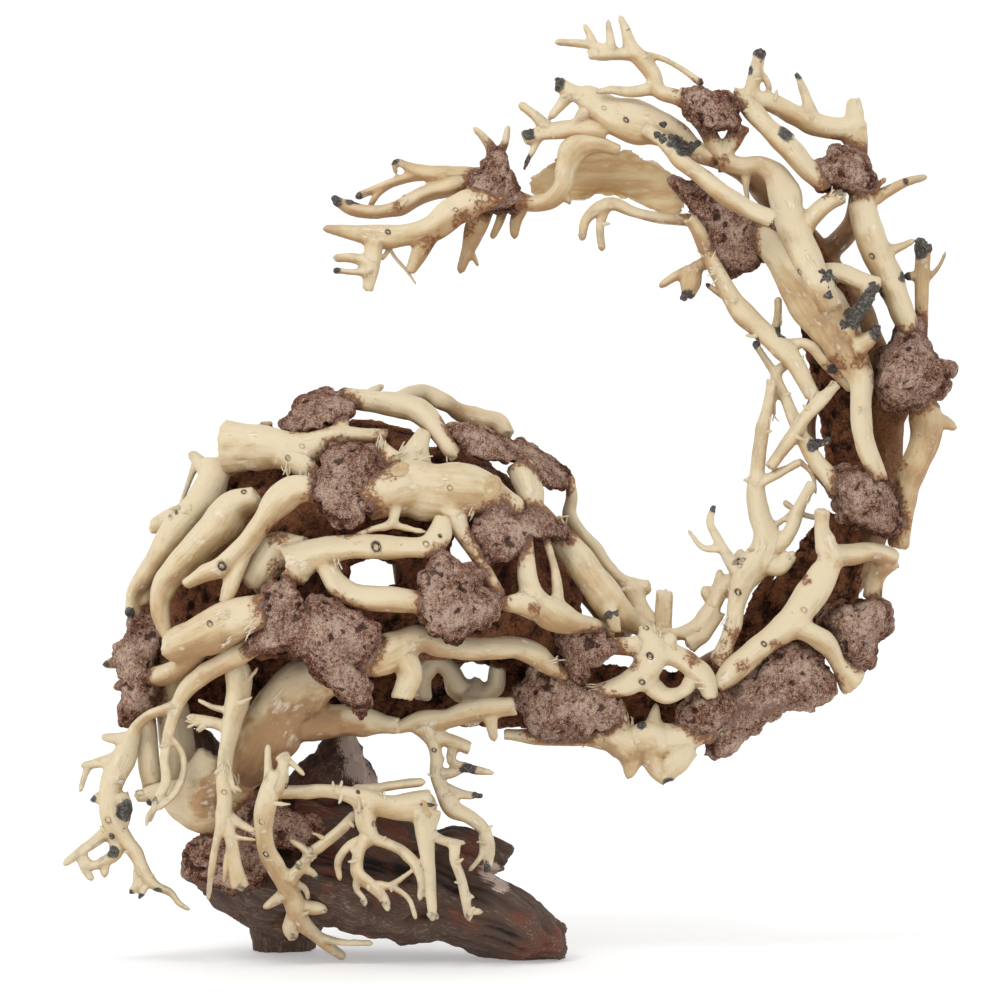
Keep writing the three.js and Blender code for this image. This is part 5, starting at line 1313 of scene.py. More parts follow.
@dataclass(frozen=True)
class CrumblyLining:
    """The gritty rust-brown inside: near black in its hollows, where painted shade lies over its own dark
    grit, and orange-brown on its crumbs, lightest on the raised ones, which is partly a painted highlight.
    """

    umber: Colour = paint(100, 63, 45)
    dark: Colour = paint(44, 26, 20)
    orange: Colour = paint(146, 94, 64)
    ash: Colour = paint(150, 118, 98)
    specular: float = 0.15

    def material(self) -> bpy.types.Material:
        """Builds the finish."""
        tree = Tree("crumbly_lining", self.dark)
        relief = tree.stored("relief")
        crumb = tree.noise(1.4, 5, 0.7)
        patch = tree.noise(14, 3)
        grit = tree.cells(1.6)
        # painted shade: near black in the low places, umber where the crumbs stand up
        tree.over((relief + 0.8 * (crumb - 0.5)).between(0.25, 0.75), self.umber)
        # orange-brown crumbs, partly a painted highlight on the raised ones
        tree.over((crumb + 0.4 * relief + 0.4 * (patch - 0.5)).between(0.68, 0.9) * 0.8, self.orange)
        tree.over((patch * 0.6 + crumb * 0.5).between(0.6, 0.74) * 0.45, self.ash)
        height = crumb + 0.6 * grit
        return tree.finished(0.95, height, 1.2, self.specular)


@dataclass(frozen=True)
class TanBark:
    """The tan, satin inside of the dished piece of bark."""

    honey: Colour = paint(222, 200, 158)
    amber: Colour = paint(196, 160, 112)
    pale: Colour = paint(234, 220, 190)
    rust: Colour = paint(132, 80, 46)
    specular: float = 0.4

    def material(self) -> bpy.types.Material:
        """Builds the finish."""
        tree = Tree("tan_bark", self.honey)
        grain, rim = tree.stored("grain", "Vector"), tree.stored("rim")
        broad = tree.noise(9, 2, 0.5, grain)
        streak = tree.noise(1.4, 4, 0.6, grain)
        scratch = tree.noise(0.6, 2, 0.5, grain)
        tree.over((broad + 0.3 * (streak - 0.5)).between(0.35, 0.65), self.amber)
        tree.over((broad + 0.2 * streak).between(0.68, 0.85) * 0.7, self.pale)
        tree.over(scratch.between(0.68, 0.8) * 0.35, self.rust)
        tree.over((rim + 0.6 * (broad - 0.5)).between(0.75, 1.1) * 0.5, self.pale)
        return tree.finished(0.42 + 0.2 * streak, streak + 0.6 * scratch, 0.08, self.specular)


@dataclass(frozen=True)
class DarkDriftwood:
    """Heavy dark driftwood: near black furrows, which are its own dark wood with painted shade in them,
    red-brown ridges and a few pale worn fibres.
    """

    brown: Colour = paint(84, 65, 54)
    black: Colour = paint(28, 22, 20)
    red: Colour = paint(116, 62, 46)
    worn: Colour = paint(150, 130, 116)
    frayed: Colour = paint(206, 184, 172)
    specular: float = 0.3

    def material(self) -> bpy.types.Material:
        """Builds the finish."""
        tree = Tree("dark_driftwood", self.black)
        grain, relief, rim = tree.stored("grain", "Vector"), tree.stored("relief"), tree.stored("rim")
        streak = tree.noise(2.6, 5, 0.65, grain)
        fibre = tree.noise(0.8, 4, 0.65, grain)
        patch = tree.noise(30, 3)
        # painted shade in the furrows over the dark wood, brown on the ridges
        tree.over((relief + 0.5 * (streak - 0.5)).between(0.2, 0.62), self.brown)
        tree.over((patch + 0.5 * (streak - 0.5)).between(0.5, 0.66) * 0.7, self.red)
        tree.over((fibre + 0.35 * relief).between(0.78, 0.98) * 0.55, self.worn)
        tree.over((rim + 1.6 * (fibre - 0.5) + 0.8 * (streak - 0.5)).between(0.35, 0.75) * 0.9, self.frayed)
        roughness = 0.55 + 0.35 * streak
        return tree.finished(roughness, streak + 0.7 * fibre, 0.9, self.specular)


@dataclass(frozen=True)
class StudioPaper:
    """Pale studio paper that glows a little, so that it stays even from every side."""

    tint: Colour = (0.8, 0.8, 0.795, 1.0)
    light: Colour = (0.82, 0.82, 0.81, 1.0)
    glow: float = 0.3

    def material(self) -> bpy.types.Material:
        """Builds the finish."""
        tree = Tree("studio_paper", self.tint)
        tree.over(tree.noise(180, 2) * 0.06, self.light)
        surface = tree.add("ShaderNodeBsdfPrincipled", {}, {
            "Base Color": tree.colour, "Roughness": 0.95, "Specular IOR Level": 0.05,
            "Emission Color": (1.0, 1.0, 1.0, 1.0), "Emission Strength": self.glow})
        tree.add("ShaderNodeOutputMaterial", {}, {"Surface": surface})
        return tree.material


@dataclass
class Workshop:
    """What the sub-assemblies share: finishes, the part's origin and the putty already laid."""

    origin: np.ndarray
    wood: bpy.types.Material = field(default_factory=lambda: PeeledWood().material())
    putty: bpy.types.Material = field(default_factory=lambda: SandyPutty().material())
    lining: bpy.types.Material = field(default_factory=lambda: CrumblyLining().material())
    bark: bpy.types.Material = field(default_factory=lambda: TanBark().material())
    driftwood: bpy.types.Material = field(default_factory=lambda: DarkDriftwood().material())
    laid: list[tuple[BVHTree, np.ndarray, np.ndarray]] = field(default_factory=list)
    stain_reach: float = 7.0

    def lay(self, mesh: bpy.types.Mesh) -> None:
        """Notes putty that will stain the wood near it.

        Args:
            mesh: the putty.
        """
        work = bmesh.new()
        work.from_mesh(mesh)
        points = points_of(mesh)
        self.laid.append((BVHTree.FromBMesh(work), points.min(0), points.max(0)))
        work.free()

    def rust_at(self, points: np.ndarray) -> np.ndarray:
        """Gives how much rust the putty nearby leaves on each point.

        Args:
            points: the points, one to a row.

        Returns:
            One value from 0 to 1 for each point.
        """
        reach = self.stain_reach
        stain = np.zeros(len(points))
        for tree, low, high in self.laid:
            near = ((points > low - reach) & (points < high + reach)).all(1)
            for i in np.flatnonzero(near):
                away = tree.find_nearest(Vector(points[i]), reach)[3]
                if away is not None:
                    stain[i] = max(stain[i], (1 - away / reach) ** 1.5)
        return stain


@dataclass(frozen=True)
class Lump:
    """A lump of putty with a traced outline of x, z points.

    Its depth is counted from the middle plane, or from the front of the body where it hugs that.
    """

    at: float
    thickness: float
    outline: tuple[tuple[float, float], ...]
    hugs: bool = False
    wraps: bool = False
    dish: float = 0.0
    margin: float = 6.0

    def shell(self, seed: int, rim_points: int = 160) -> bpy.types.Mesh:
        """Builds the closed lump, domed on its front, with a wavering rim.

        Args:
            seed: which set of random unevenness to take.
            rim_points: how many points go round it.

        Returns:
            The lump as a mesh.
        """
        corners = np.array([*self.outline, self.outline[0]], float)
        area = (corners[:-1, 0] * corners[1:, 1] - corners[:-1, 1] * corners[1:, 0]).sum()
        corners = corners if area > 0 else corners[::-1]
        looped = np.concatenate([corners[-3:-1], corners, corners[1:3]])
        closed = Limb(np.column_stack([looped[:, 0], looped[:, 0] * 0, looped[:, 1], looped[:, 0] * 0 + 1]))
        path = closed.path(0.8)
        spans = np.concatenate([[0], np.cumsum(np.linalg.norm(np.diff(looped, axis=0), axis=1))])
        wanted = np.linspace(spans[2], spans[-3], rim_points, endpoint=False)
        rim = np.stack([np.interp(wanted, path.along, path.centres[:, k]) for k in (0, 2)], 1)
        centre = corners[:-1].mean(0)
        level = np.column_stack([rim, np.full(len(rim), seed * 7.0)])
        waver = 2.4 * NOISE.at(level, 9) + 2.3 * NOISE.at(level, 4) + 1.3 * NOISE.at(level, 2)
        outward = (rim - centre) / np.linalg.norm(rim - centre, axis=1)[:, None]
        rim = rim + outward * waver[:, None]
        front = [(reach, -(1 - reach ** 3) ** 0.75) for reach in (0.25, 0.45, 0.62, 0.76, 0.88, 0.96)]
        back = [(reach, -rise) for reach, rise in reversed(front)]
        flat = [(reach, 0.9 - 0.8 * reach ** 2) for reach in (0.85, 0.55, 0.28)]
        rings = [*front, (1.0, 0.0 if self.wraps else 0.1), *(back if self.wraps else flat)]
        rings = [(0.0, -1.0), *rings, (0.0, 1.0 if self.wraps else 0.9)]
        points = []
        for reach, rise in rings:
            spot = centre + (rim - centre) * reach if reach else centre[None]
            x, z = spot.T
            base = np.full(len(x), float(self.at))
            if self.hugs:
                base = -BODY.depth(x, z) - self.at
            y = base + self.dish * (1 - reach ** 2) + rise * self.thickness
            points.append(EYE.placed(x, z, y))
        inner = len(rings) - 2
        ring = np.arange(inner * rim_points).reshape(inner, rim_points) + 1
        return mesh_of("lump", np.concatenate(points), woven(ring, 0, inner * rim_points + 1))

    def rim_at(self, points: np.ndarray) -> np.ndarray:
        """Gives how near to the outline each point shows.

        Args:
            points: the points, one to a row.

        Returns:
            One value for each point, from 1 on the outline to 0 from its margin inwards.
        """
        shown = EYE.seen(points)
        corners = np.array([*self.outline, self.outline[0]], float)
        best = np.full(len(points), self.margin)
        for a, b in zip(corners, corners[1:]):
            t = np.clip(((shown - a) @ (b - a)) / ((b - a) @ (b - a)), 0, 1)
            best = np.minimum(best, np.linalg.norm(shown - a - t[:, None] * (b - a), axis=1))
        return 1 - best / self.margin


@dataclass
class PuttyLumps:
    """The lumps of sandy putty that hold the sticks together."""

    voxel: float = 0.72
    keep: float = 0.58
    creep: float = 0.4
    lumps: dict[str, list[Lump]] = field(default_factory=lambda: {
        "putty_tip": [Lump(0, 12, ((-21,390), (-13,396), (-9,405), (-4,406), (0,396), (4,388), (8,378),
          (3,374), (-4,376), (-12,374), (-19,378)))],
        "putty_crown": [Lump(-13, 12, ((85,433), (92,436), (102,436), (109,433), (115,424), (113,415),
          (106,413), (99,415), (91,423), (85,428)))],
        "putty_shoulder": [Lump(-6, 16, ((150,395), (160,400), (168,405), (176,403), (180,393), (184,385),
          (177,380), (168,382), (159,385), (150,389)), wraps=True)],
        "putty_neck": [Lump(1, 16, ((82,389), (97,389), (110,382), (124,373), (134,362), (127,349),
          (117,342), (106,344), (97,352), (94,362), (90,373)), wraps=True)],
        "putty_column": [Lump(1, 26, ((186,308), (193,316), (203,318), (210,307), (219,295), (216,282),
          (204,275), (194,274), (183,280), (180,293)), wraps=True)],
        "putty_elbow": [Lump(1, 26, ((160,244), (173,246), (184,243), (194,235), (195,222), (192,211),
          (182,213), (170,218), (162,229)), wraps=True)],
        "putty_lower_right": [Lump(2, 23, ((155,170), (164,177), (177,181), (189,181), (190,167), (184,156),
          (178,145), (168,144), (161,152), (159,161)), wraps=True)],
        "putty_keel": [Lump(-12, 15, ((108,120), (107,129), (112,137), (124,149), (136,157), (147,159),
          (159,150), (163,138), (153,126), (138,122), (120,114), (106,101), (96,101), (100,110))),
          Lump(-14, 14, ((85,127), (90,133), (98,137), (112,136), (118,126), (110,116), (100,109), (88,110),
          (83,120)))],
        "putty_belly": [Lump(-26, 13, ((-2,130), (5,138), (9,148), (17,149), (31,145), (37,136), (47,134),
          (55,128), (51,119), (41,113), (25,112), (11,115), (6,122))), Lump(-30, 11, ((27,163), (36,166),
          (50,162), (54,155), (46,150), (39,146), (36,136), (28,137), (25,150)))],
        "putty_dome_crown": [Lump(-2, 11, ((-118,267), (-110,274), (-104,283), (-94,286), (-84,285),
          (-76,281), (-78,274), (-86,270), (-91,264), (-103,263), (-113,263)), hugs=True)],
        "putty_dome_right": [Lump(-1, 11, ((-31,266), (-20,267), (-7,263), (6,259), (20,253), (29,245),
          (30,237), (23,234), (14,243), (3,246), (-8,249), (-20,250), (-29,257)), hugs=True)],
        "putty_dome_front": [Lump(0, 10, ((-14,228), (-8,237), (1,228), (13,227), (24,219), (30,211),
          (20,211), (9,208), (2,200), (-9,200), (-17,209), (-20,219)), hugs=True)],
        "putty_dome_centre": [Lump(6, 10, ((-100,235), (-97,246), (-91,256), (-78,260), (-68,253),
          (-62,242), (-66,232), (-72,223), (-84,219), (-95,224)), hugs=True)],
        "putty_dome_mid": [Lump(2, 11, ((-36,207), (-29,200), (-20,197), (-12,188), (-3,180), (-9,170),
          (-15,164), (-28,157), (-40,161), (-44,170), (-46,182), (-41,195)), hugs=True)],
        "putty_dome_left": [Lump(4, 11, ((-128,181), (-118,190), (-110,193), (-106,182), (-92,184),
          (-80,177), (-66,167), (-68,155), (-76,148), (-70,133), (-72,121), (-82,128), (-94,140),
          (-104,149), (-116,156), (-131,155), (-124,167)), hugs=True)],
        "putty_left_rim": [Lump(-24, 14, ((-186,172), (-178,175), (-173,160), (-176,149), (-174,136),
          (-178,125), (-187,119), (-194,116), (-194,130), (-196,140), (-201,149), (-193,160)))],
        "putty_base": [Lump(-30, 12, ((-139,88), (-124,88), (-114,78), (-103,72), (-95,63), (-103,54),
          (-117,54), (-120,44), (-133,33), (-150,37), (-162,46), (-161,55), (-148,66)))],
    })

    def build(self, parts: Workshop) -> None:
        """Builds and dresses each lump.

        Args:
            parts: the shared finishes and origin.
        """
        for seed, (name, shapes) in enumerate(self.lumps.items()):
            mesh = shapes[0].shell(seed)
            for more in shapes[1:]:
                mesh = joined(mesh, more.shell(seed + 40))
            mesh = fused(mesh, self.voxel)
            relaxed(mesh, 2, 0)
            store(mesh, "relief", self.crumble(mesh))
            mesh = modified(mesh, "DECIMATE", ratio=self.keep)
            parts.lay(mesh)
            points = points_of(mesh)
            rim = np.min([shape.rim_at(points) for shape in shapes], axis=0)
            # painted shade on the undersides, carried in the rim value with the rusty margin near the
            # outline
            under = np.clip(-normals_of(mesh)[:, 2] - 0.2, 0, 1)
            store(mesh, "rim", np.clip(rim * 0.8 + under * 0.5, 0, 1))
            Piece(name.replace("putty_", "") + "_putty", name, "putty", mesh, parts.putty).put(parts.origin)

    def crumble(self, mesh: bpy.types.Mesh) -> np.ndarray:
        """Gives a lump its lumpy, gritty, pitted surface.

        Args:
            mesh: the smooth lump, changed in place.

        Returns:
            How high each point stands in the grit, from 0 in a pit to 1.
        """
        points = points_of(mesh)
        broad = 2.6 * NOISE.at(points, 14) + 1.1 * NOISE.at(points + 30, 6)
        clods = np.abs(NOISE.at(points + 90, 3.6))
        grit = NOISE.at(points + 50, 1.5)
        pits = np.clip(NOISE.at(points + 150, 1.9) - 0.5, 0, 1)
        dents = np.clip(NOISE.at(points + 210, 4.4) - 0.5, 0, 1)
        raised(mesh, broad + 0.8 * (0.45 - clods) + 0.6 * grit - 1.7 * pits - 5 * dents + self.creep)
        return np.clip(0.62 - 0.5 * clods + 0.3 * grit - 2 * pits - 2.5 * dents, 0, 1)


@dataclass
class Linings:
    """The gritty rust-brown inside of the dome, the keel and the column."""

    nodes: tuple[tuple[str, float], ...] = (
        ("dome_lining", 1.85), ("keel_lining", 1.2), ("column_lining", 1.2),
    )

    def build(self, parts: Workshop) -> None:
        """Makes each solid lining crumbly.

        Args:
            parts: the shared finishes and origin.
        """
        for name, voxel in self.nodes:
            mesh = frame["nodes"][name].data.copy()
            set_points(mesh, points_of(mesh) / MM - parts.origin)
            mesh = fused(mesh, voxel)
            relaxed(mesh, 5, 0)
            points = points_of(mesh)
            clods = np.abs(NOISE.at(points, 7))
            crumbs = np.abs(NOISE.at(points + 40, 3.4))
            grit = NOISE.at(points + 80, 1.7)
            high = 2.4 * (0.45 - clods) + 1.7 * (0.4 - crumbs) + 0.5 * grit
            raised(mesh, high)
            store(mesh, "relief", np.clip(0.5 + 0.3 * high, 0, 1))
            Piece(name.replace("_", "_crumbly_"), name, "lining", mesh, parts.lining).put(parts.origin)


@dataclass
class BarkShell:
    """The tan, dished piece of bark under the arc."""

    sheet: Lump = Lump(6, 2.2, (
        (8,386), (13,394), (22,402), (33,407), (46,408), (58,405), (72,399), (83,392), (89,383), (85,371),
        (74,373), (62,379), (42,381), (25,379), (14,381)), wraps=True, dish=12)
    voxel: float = 0.9

    def build(self, parts: Workshop) -> None:
        """Builds the sheet with low flutes along it.

        Args:
            parts: the shared finishes and origin.
        """
        mesh = fused(self.sheet.shell(3, 120), self.voxel)
        relaxed(mesh, 8, 0)
        points = points_of(mesh)
        grain = points * (0.12, 1, 1)
        raised(mesh, 0.22 * NOISE.at(grain, 4) + 0.06 * NOISE.at(grain, 1.8) + 0.7 * NOISE.at(points, 18))
        store(mesh, "grain", grain)
        store(mesh, "rim", self.sheet.rim_at(points))
        Piece("tan_bark_shell", "bark_shell", "bark", mesh, parts.bark).put(parts.origin)


@dataclass
class DriftwoodBase:
    """The dark driftwood: a log to the right, a lobe to the left and a wall that rises behind."""

    ground: float = 1.2
    step: float = 2.0
    voxel: float = 1.4
    masses: list[tuple[Limb, float]] = field(default_factory=lambda: [
        (limb(8, (-104,52,31), (-78,47,30), (-52,37,27), (-28,30,23,2),
            (-6,21,20,-4), (12,12,15,-4), (26,7,8.5,-4)), 1.5),
        (limb(10, (-159,50,9), (-147,48,15), (-132,44,20.5), (-114,42,26)), 1.5),
        (limb(26, (-110,34,20), (-112,12,15,36), (-112,-4,13,42)), 1.2),
        (limb(20, (-98,62,31), (-90,83,22.5), (-85,101,12.5), (-85,117,4)), 1.0),
        (limb(28, (-128,60,24), (-140,84,17), (-152,101,12), (-157,114,6)), 1.3),
        (limb(4, (-40,44,15), (-27,53,13), (-13,53,9.5), (-2,50,7)), 1.3),
        (limb(12, (-136,42,15), (-126,33,13.5), (-115,23,11), (-106.5,15.5,7.5)), 1.2),
    ])
    frayed: Spots = ((-10,44,6), (-4,38,5), (-80,107,7), (-75,97,9), (-67,87,9), (-56,80,8))

    def build(self, parts: Workshop) -> None:
        """Builds the log with its deep lengthwise furrows and torn ends.

        Args:
            parts: the shared finishes and origin.
        """
        mesh = None
        for seed, (one, stretch) in enumerate(self.masses):
            rough = Shaping(oval=0.1, lobes=0.08, swell=0.1, knob=0.1, knob_every=40, flare=0,
                            stretch=stretch)
            made = tube_mesh([one], self.step, 300 + seed, rough)
            mesh = joined(mesh, made) if mesh else made
        mesh = fused(mesh, self.voxel)
        relaxed(mesh, 8, 0.5)
        strands = Strands([one for one, _ in self.masses], 0.1)
        points, normals = points_of(mesh), normals_of(mesh)
        grain = strands.grain(points, strands.nearest(points))
        ridges = 1 - 2 * np.abs(NOISE.at(grain + 11, 7))
        furrows = 1 - 2 * np.abs(NOISE.at(grain + 70, 3.4))
        fine, torn = NOISE.at(grain, 1.6), NOISE.at(points, 10)
        high = 1.7 * ridges + 1.1 * furrows + 0.35 * fine + 1.6 * torn - 0.9
        points = points + normals * high[:, None]
        points[:, 2] = np.maximum(points[:, 2], self.ground)
        set_points(mesh, points)
        store(mesh, "relief", np.clip(0.5 + 0.28 * ridges + 0.22 * furrows, 0, 1))
        facing = np.clip(0.7 - 1.2 * normals[:, 1], 0, 1)
        store(mesh, "rim", np.clip(1.4 - apart(points, self.frayed), 0, 1) * facing)
        store(mesh, "grain", grain)
        Piece("driftwood_log", "base_wood", "driftwood", mesh, parts.driftwood).put(parts.origin)


class KnotKind(Enum):
    """How a knot looks from its centre outwards: its tones, and its heights in shares of its radius."""

    RING = ((0.12, 0.16, 0.5, 0.8, 0.3, 0.0), (0.1, 0.12, 0.02, -0.02, 0.2, -0.25))
    HOLE = ((1.0, 0.9, 0.6, 0.25, 0.05, 0.0), (-0.25, -0.2, -0.05, 0.15, 0.22, -0.25))
    STUB = ((0.5, 0.6, 0.85, 0.9, 0.4, 0.0), (0.95, 0.9, 0.85, 0.7, 0.2, -0.3))
    CUT = ((0.0, 0.0, 0.0, 0.0, 0.1, 0.0), (0.0, 0.01, 0.03, 0.1, 0.09, -0.2))
    SLOT = ((1.0, 1.0, 1.0, 0.9, 0.5, 0.0), (0.5, 0.5, 0.45, 0.3, 0.1, -0.3))


Struck = tuple[bpy.types.Object, Vector, Vector]


@dataclass
class Marks:
    """Small marks on the wood, each set where it shows from the front."""

    def struck(self, x: float, z: float, parts: Workshop) -> Struck | None:
        """Finds the stick that is seen at a place.

        Args:
            x: where the place shows, to the right.
            z: where it shows, upwards.
            parts: the shared finishes and origin.

        Returns:
            The stick, the point on it and which way it faces there, or nothing where no stick shows.
        """
        graph = bpy.context.evaluated_depsgraph_get()
        eye = Vector((EYE.placed(EYE.x, EYE.z, -EYE.distance + 1) + parts.origin) * MM)
        aim = Vector((EYE.placed(x, z, 0) + parts.origin) * MM)
        hit, spot, normal, _, piece, _ = bpy.context.scene.ray_cast(graph, eye, (aim - eye).normalized())
        return (piece, spot, normal) if hit and piece.name.endswith("_wood") else None

    def attach(self, made: dict[str, list[bpy.types.Mesh]]) -> None:
        """Joins the meshes of the marks to the sticks they sit on.

        Args:
            made: the meshes for each stick, by its name.
        """
        for name, meshes in made.items():
            mesh = bpy.data.objects[name].data
            for one in meshes:
                joined(mesh, one)
            mesh.shade_smooth()
            log.info("%s carries %d marks", name, len(meshes))


class TuftKind(Enum):
    """What stands out of the wood.

    Its radius and its spread in millimetres, how thin it ends, how far it turns aside in degrees,
    its curl, its knobs, and its tone: char, rust, cut end and thinness.
    """

    FRAY = (0.42, 1.3, 0.3, 24.0, 0.16, 0.0, (0.0, 0.0, 1.0, 0.0))
    BURNT = (1.9, 1.5, 0.75, 38.0, 0.1, 0.9, (1.0, 0.0, 0.0, 0.0))
    TWIG = (1.15, 0.2, 0.5, 9.0, 0.14, 0.35, (0.0, 0.0, 0.0, 0.8))
    NUB = (1.7, 1.2, 0.8, 30.0, 0.08, 0.6, (0.25, 0.0, 0.3, 0.6))


@dataclass
class Tufts(Marks):
    """Small growths on the wood: torn fibres, knobbly burnt stubs, twigs and broken nubs.

    Each tuft has where it shows, the way it points in degrees from the right, its length and how
    many members it has.
    """

    seed: int = 77
    tufts: dict[TuftKind, tuple[tuple[float, ...], ...]] = field(default_factory=lambda: {
        TuftKind.FRAY: ((12,160,150,7,9), (43,137,200,6,8), (-48,187,30,6,12), (-42,184,-20,6,9),
          (-64,256,80,6,10), (-56,253,60,6,10), (-47,251,10,5,12), (-39,253,-15,5,14), (-33,250.5,-25,5,14),
          (-28,248,-35,4,10), (-48,134,190,5,9), (-112,247,-60,6,8), (-104,244,-80,5,8), (-119,184,160,6,9),
          (-112,176,175,6,9), (-128,166,200,6,8), (-141,172,190,5,7), (-14,190,0,6,9), (-8,181,-20,5,8),
          (75,163,100,5,7), (84,141,200,6,8), (-20,224,210,5,6), (26,222,-60,5,6), (110,186,-70,7,8),
          (110,172,-80,6,8), (137,318,80,5,6), (98,352,100,6,9), (104,345,200,6,8), (-160,222,120,4,5),
          (-52,245,-60,6,8), (132,272,-80,6,4), (-143,99,-100,8,6), (-84,258,80,5,7), (-140,160,200,5,6),
          (22,150,20,5,6), (60,118,100,5,6), (100,137,170,5,7), (-86,199,250,4,6), (-30,181,20,4,6),
          (177,278,250,5,8), (160,382,40,4,7), (-38,92,120,4,6), (-62,80,120,5,6), (-138,95,-80,9,5),
          (150,228,60,4,6)),
        TuftKind.BURNT: ((157,340,80,5,5), (158,334,-60,4,3), (176,324,50,6,6), (181,331,70,5,3),
          (183,315,-60,5,4), (172,318,170,4,3), (83,409,30,5,4), (89,405,0,6,5), (76,411,120,4,4),
          (206,355,90,4,5), (89,332,-80,3,3), (25,438,150,3,3), (10,413,180,3,3), (-193,68,-80,3,3),
          (127,455,80,3,3), (136,414,100,3,3), (50,172,90,3,3), (136,313,-60,2.5,3), (196,342,180,2.5,2),
          (152,257,60,3.5,4), (158,260,20,3,3), (170,319,90,5,4), (180,334,40,4,3), (-181,80,200,3,3)),
        TuftKind.TWIG: ((-155,119,190,6,2), (-152,117,215,6,2), (-158,121,150,5,1), (-139,86,-30,7,1),
          (-144,96,200,6,1), (-136,128,15,8,1), (-131,140,40,7,1), (-112,100,60,5,1), (-118,78,10,8,1),
          (-122,64,200,6,1), (-117,50,190,7,1), (-109,40,60,6,1), (-104,22,20,7,1), (-93,61,140,6,1),
          (-80,69,-40,6,1), (-88,84,100,7,1), (-86,84,70,6,1), (-84,83,-100,7,1), (-76,82,-80,8,1),
          (-70,60,170,6,1), (-64,59,60,4,1), (-60,37,-70,5,1), (-76,50,200,6,1), (-71,38,-110,6,1),
          (-66,35,-60,5,1), (-42,60,200,5,1), (-28,48,20,6,1), (-24,38,160,4,1), (-21,24,60,5,1),
          (-34,81,30,7,1), (-30,74,60,6,1), (-13,64,40,5,1), (-12,58,160,6,1), (-37,96,160,4,1),
          (-38,103,30,4,1), (10,119,-80,4,1), (-190,54,180,5,1), (-197,88,10,5,1), (-205,99,150,4,1),
          (-180,42,20,4,1), (-203,64,120,5,1), (-214,52,60,4,1), (-171,108,200,5,1), (-188,111,130,5,1),
          (-165,226,190,6,1), (-160,224,60,5,1), (110,187,60,6,1), (103,176,130,6,1), (122,205,160,7,1),
          (129,232,170,6,1), (127,264,30,7,1), (143,262,-30,8,1), (136,282,20,6,1), (124,312,200,6,1),
          (112,328,60,6,1), (102,347,210,6,1), (146,300,40,5,1), (155,293,-60,5,1), (150,275,150,5,1),
          (52,455,100,5,1), (66,451,20,5,1), (44,456,260,5,1), (84,431,80,5,1), (96,422,160,5,1),
          (122,440,30,5,1), (132,429,80,6,1), (150,420,60,5,1), (158,417,290,5,1), (120,425,200,5,1),
          (36,432,90,4,1), (28,433,200,5,1), (14,414,60,5,1), (20,414,-60,5,1), (46,368,20,5,1),
          (38,364,200,5,1), (-42,405,60,5,1), (-60,366,160,6,1), (-55,378,30,6,1), (-30,400,120,5,1),
          (200,359,40,4,1)),
        TuftKind.NUB: ((-162,121,180,3,3), (-128,65,0,2.5,2), (-77,74,60,3,3), (-99,55,120,2.5,3),
          (-105,46,150,3,3), (-93,25,0,3,3), (-108,12,240,3,3), (-39,22,270,3,3), (-21,23,300,3,4),
          (-61,28,280,3,3), (-72,30,290,3,3), (-18,107,0,3,3), (-135,37,270,3,3), (-161,26,0,2,2),
          (61,464,100,3,3), (165,381,40,3,4), (107,166,90,3,3), (140,204,50,3,3), (-168,222,110,3,3),
          (44,121,90,3,3), (116,199,140,3,4), (158,276,60,3,4), (-184,82,160,3,3), (-176,79,260,3,3)),
    })

    def build(self, parts: Workshop) -> None:
        """Sets each tuft on the stick that is seen at its place.

        Args:
            parts: the shared finishes and origin.
        """
        draw = np.random.default_rng(self.seed)
        made: dict[str, list[bpy.types.Mesh]] = {}
        for kind, tufts in self.tufts.items():
            _, spread, _, aside, _, _, _ = kind.value
            for x, z, turn, length, count in tufts:
                for _ in range(count):
                    near, jitter = draw.normal(0, spread, 2), draw.normal(0, aside)
                    reach = draw.uniform(0.45, 1)
                    found = self.struck(x + near[0], z + near[1], parts)
                    if found:
                        made.setdefault(found[0].name, []).append(self.member(
                            kind, found[1], found[2], math.radians(turn + jitter), length * reach, draw))
        self.attach(made)

    def member(self, kind: TuftKind, spot: Vector, normal: Vector, turn: float, length: float,
               draw: np.random.Generator) -> bpy.types.Mesh:
        """Builds one fibre, stub or twig that starts in the wood.

        Args:
            kind: what it is.
            spot: where it starts.
            normal: which way the wood faces there.
            turn: which way it points as seen from the front, in radians.
            length: its length in millimetres.
            draw: the random numbers for its curl.

        Returns:
            The mesh, with what its wood finish reads.
        """
        radius, _, thin, _, curl, knobs, tone = kind.value
        way = np.array([math.cos(turn), 0, math.sin(turn)])
        out = np.array(normal)
        start = np.array(spot) / MM - 0.9 * radius * out
        bend = draw.normal(0, curl, 3)
        rows = []
        for t in (0, 0.3, 0.65, 1.0):
            point = start + length * (t * way + 0.35 * t * (1 - 0.6 * t) * out + t * t * bend)
            rows.append([*point, radius * (1.25 * (1 - t) + thin * t)])
        sides, step = (8, 0.8) if knobs else (5, length / 3)
        rod = Shaping(oval=0, lobes=0, swell=0, knob=0, flare=0, flat_from=9, sides=sides)
        mesh = tube_mesh([Limb(np.array(rows))], step, 5, rod)
        points = points_of(mesh)
        points += normals_of(mesh) * (knobs * radius * 0.6 * NOISE.at(points, 1.9))[:, None]
        set_points(mesh, points * MM)
        store(mesh, "grain", points)
        store(mesh, "tone", np.tile(tone, (len(points), 1)))
        store(mesh, "warmth_and_shade", np.full(len(points), draw.uniform(0, 0.35)))
        return mesh


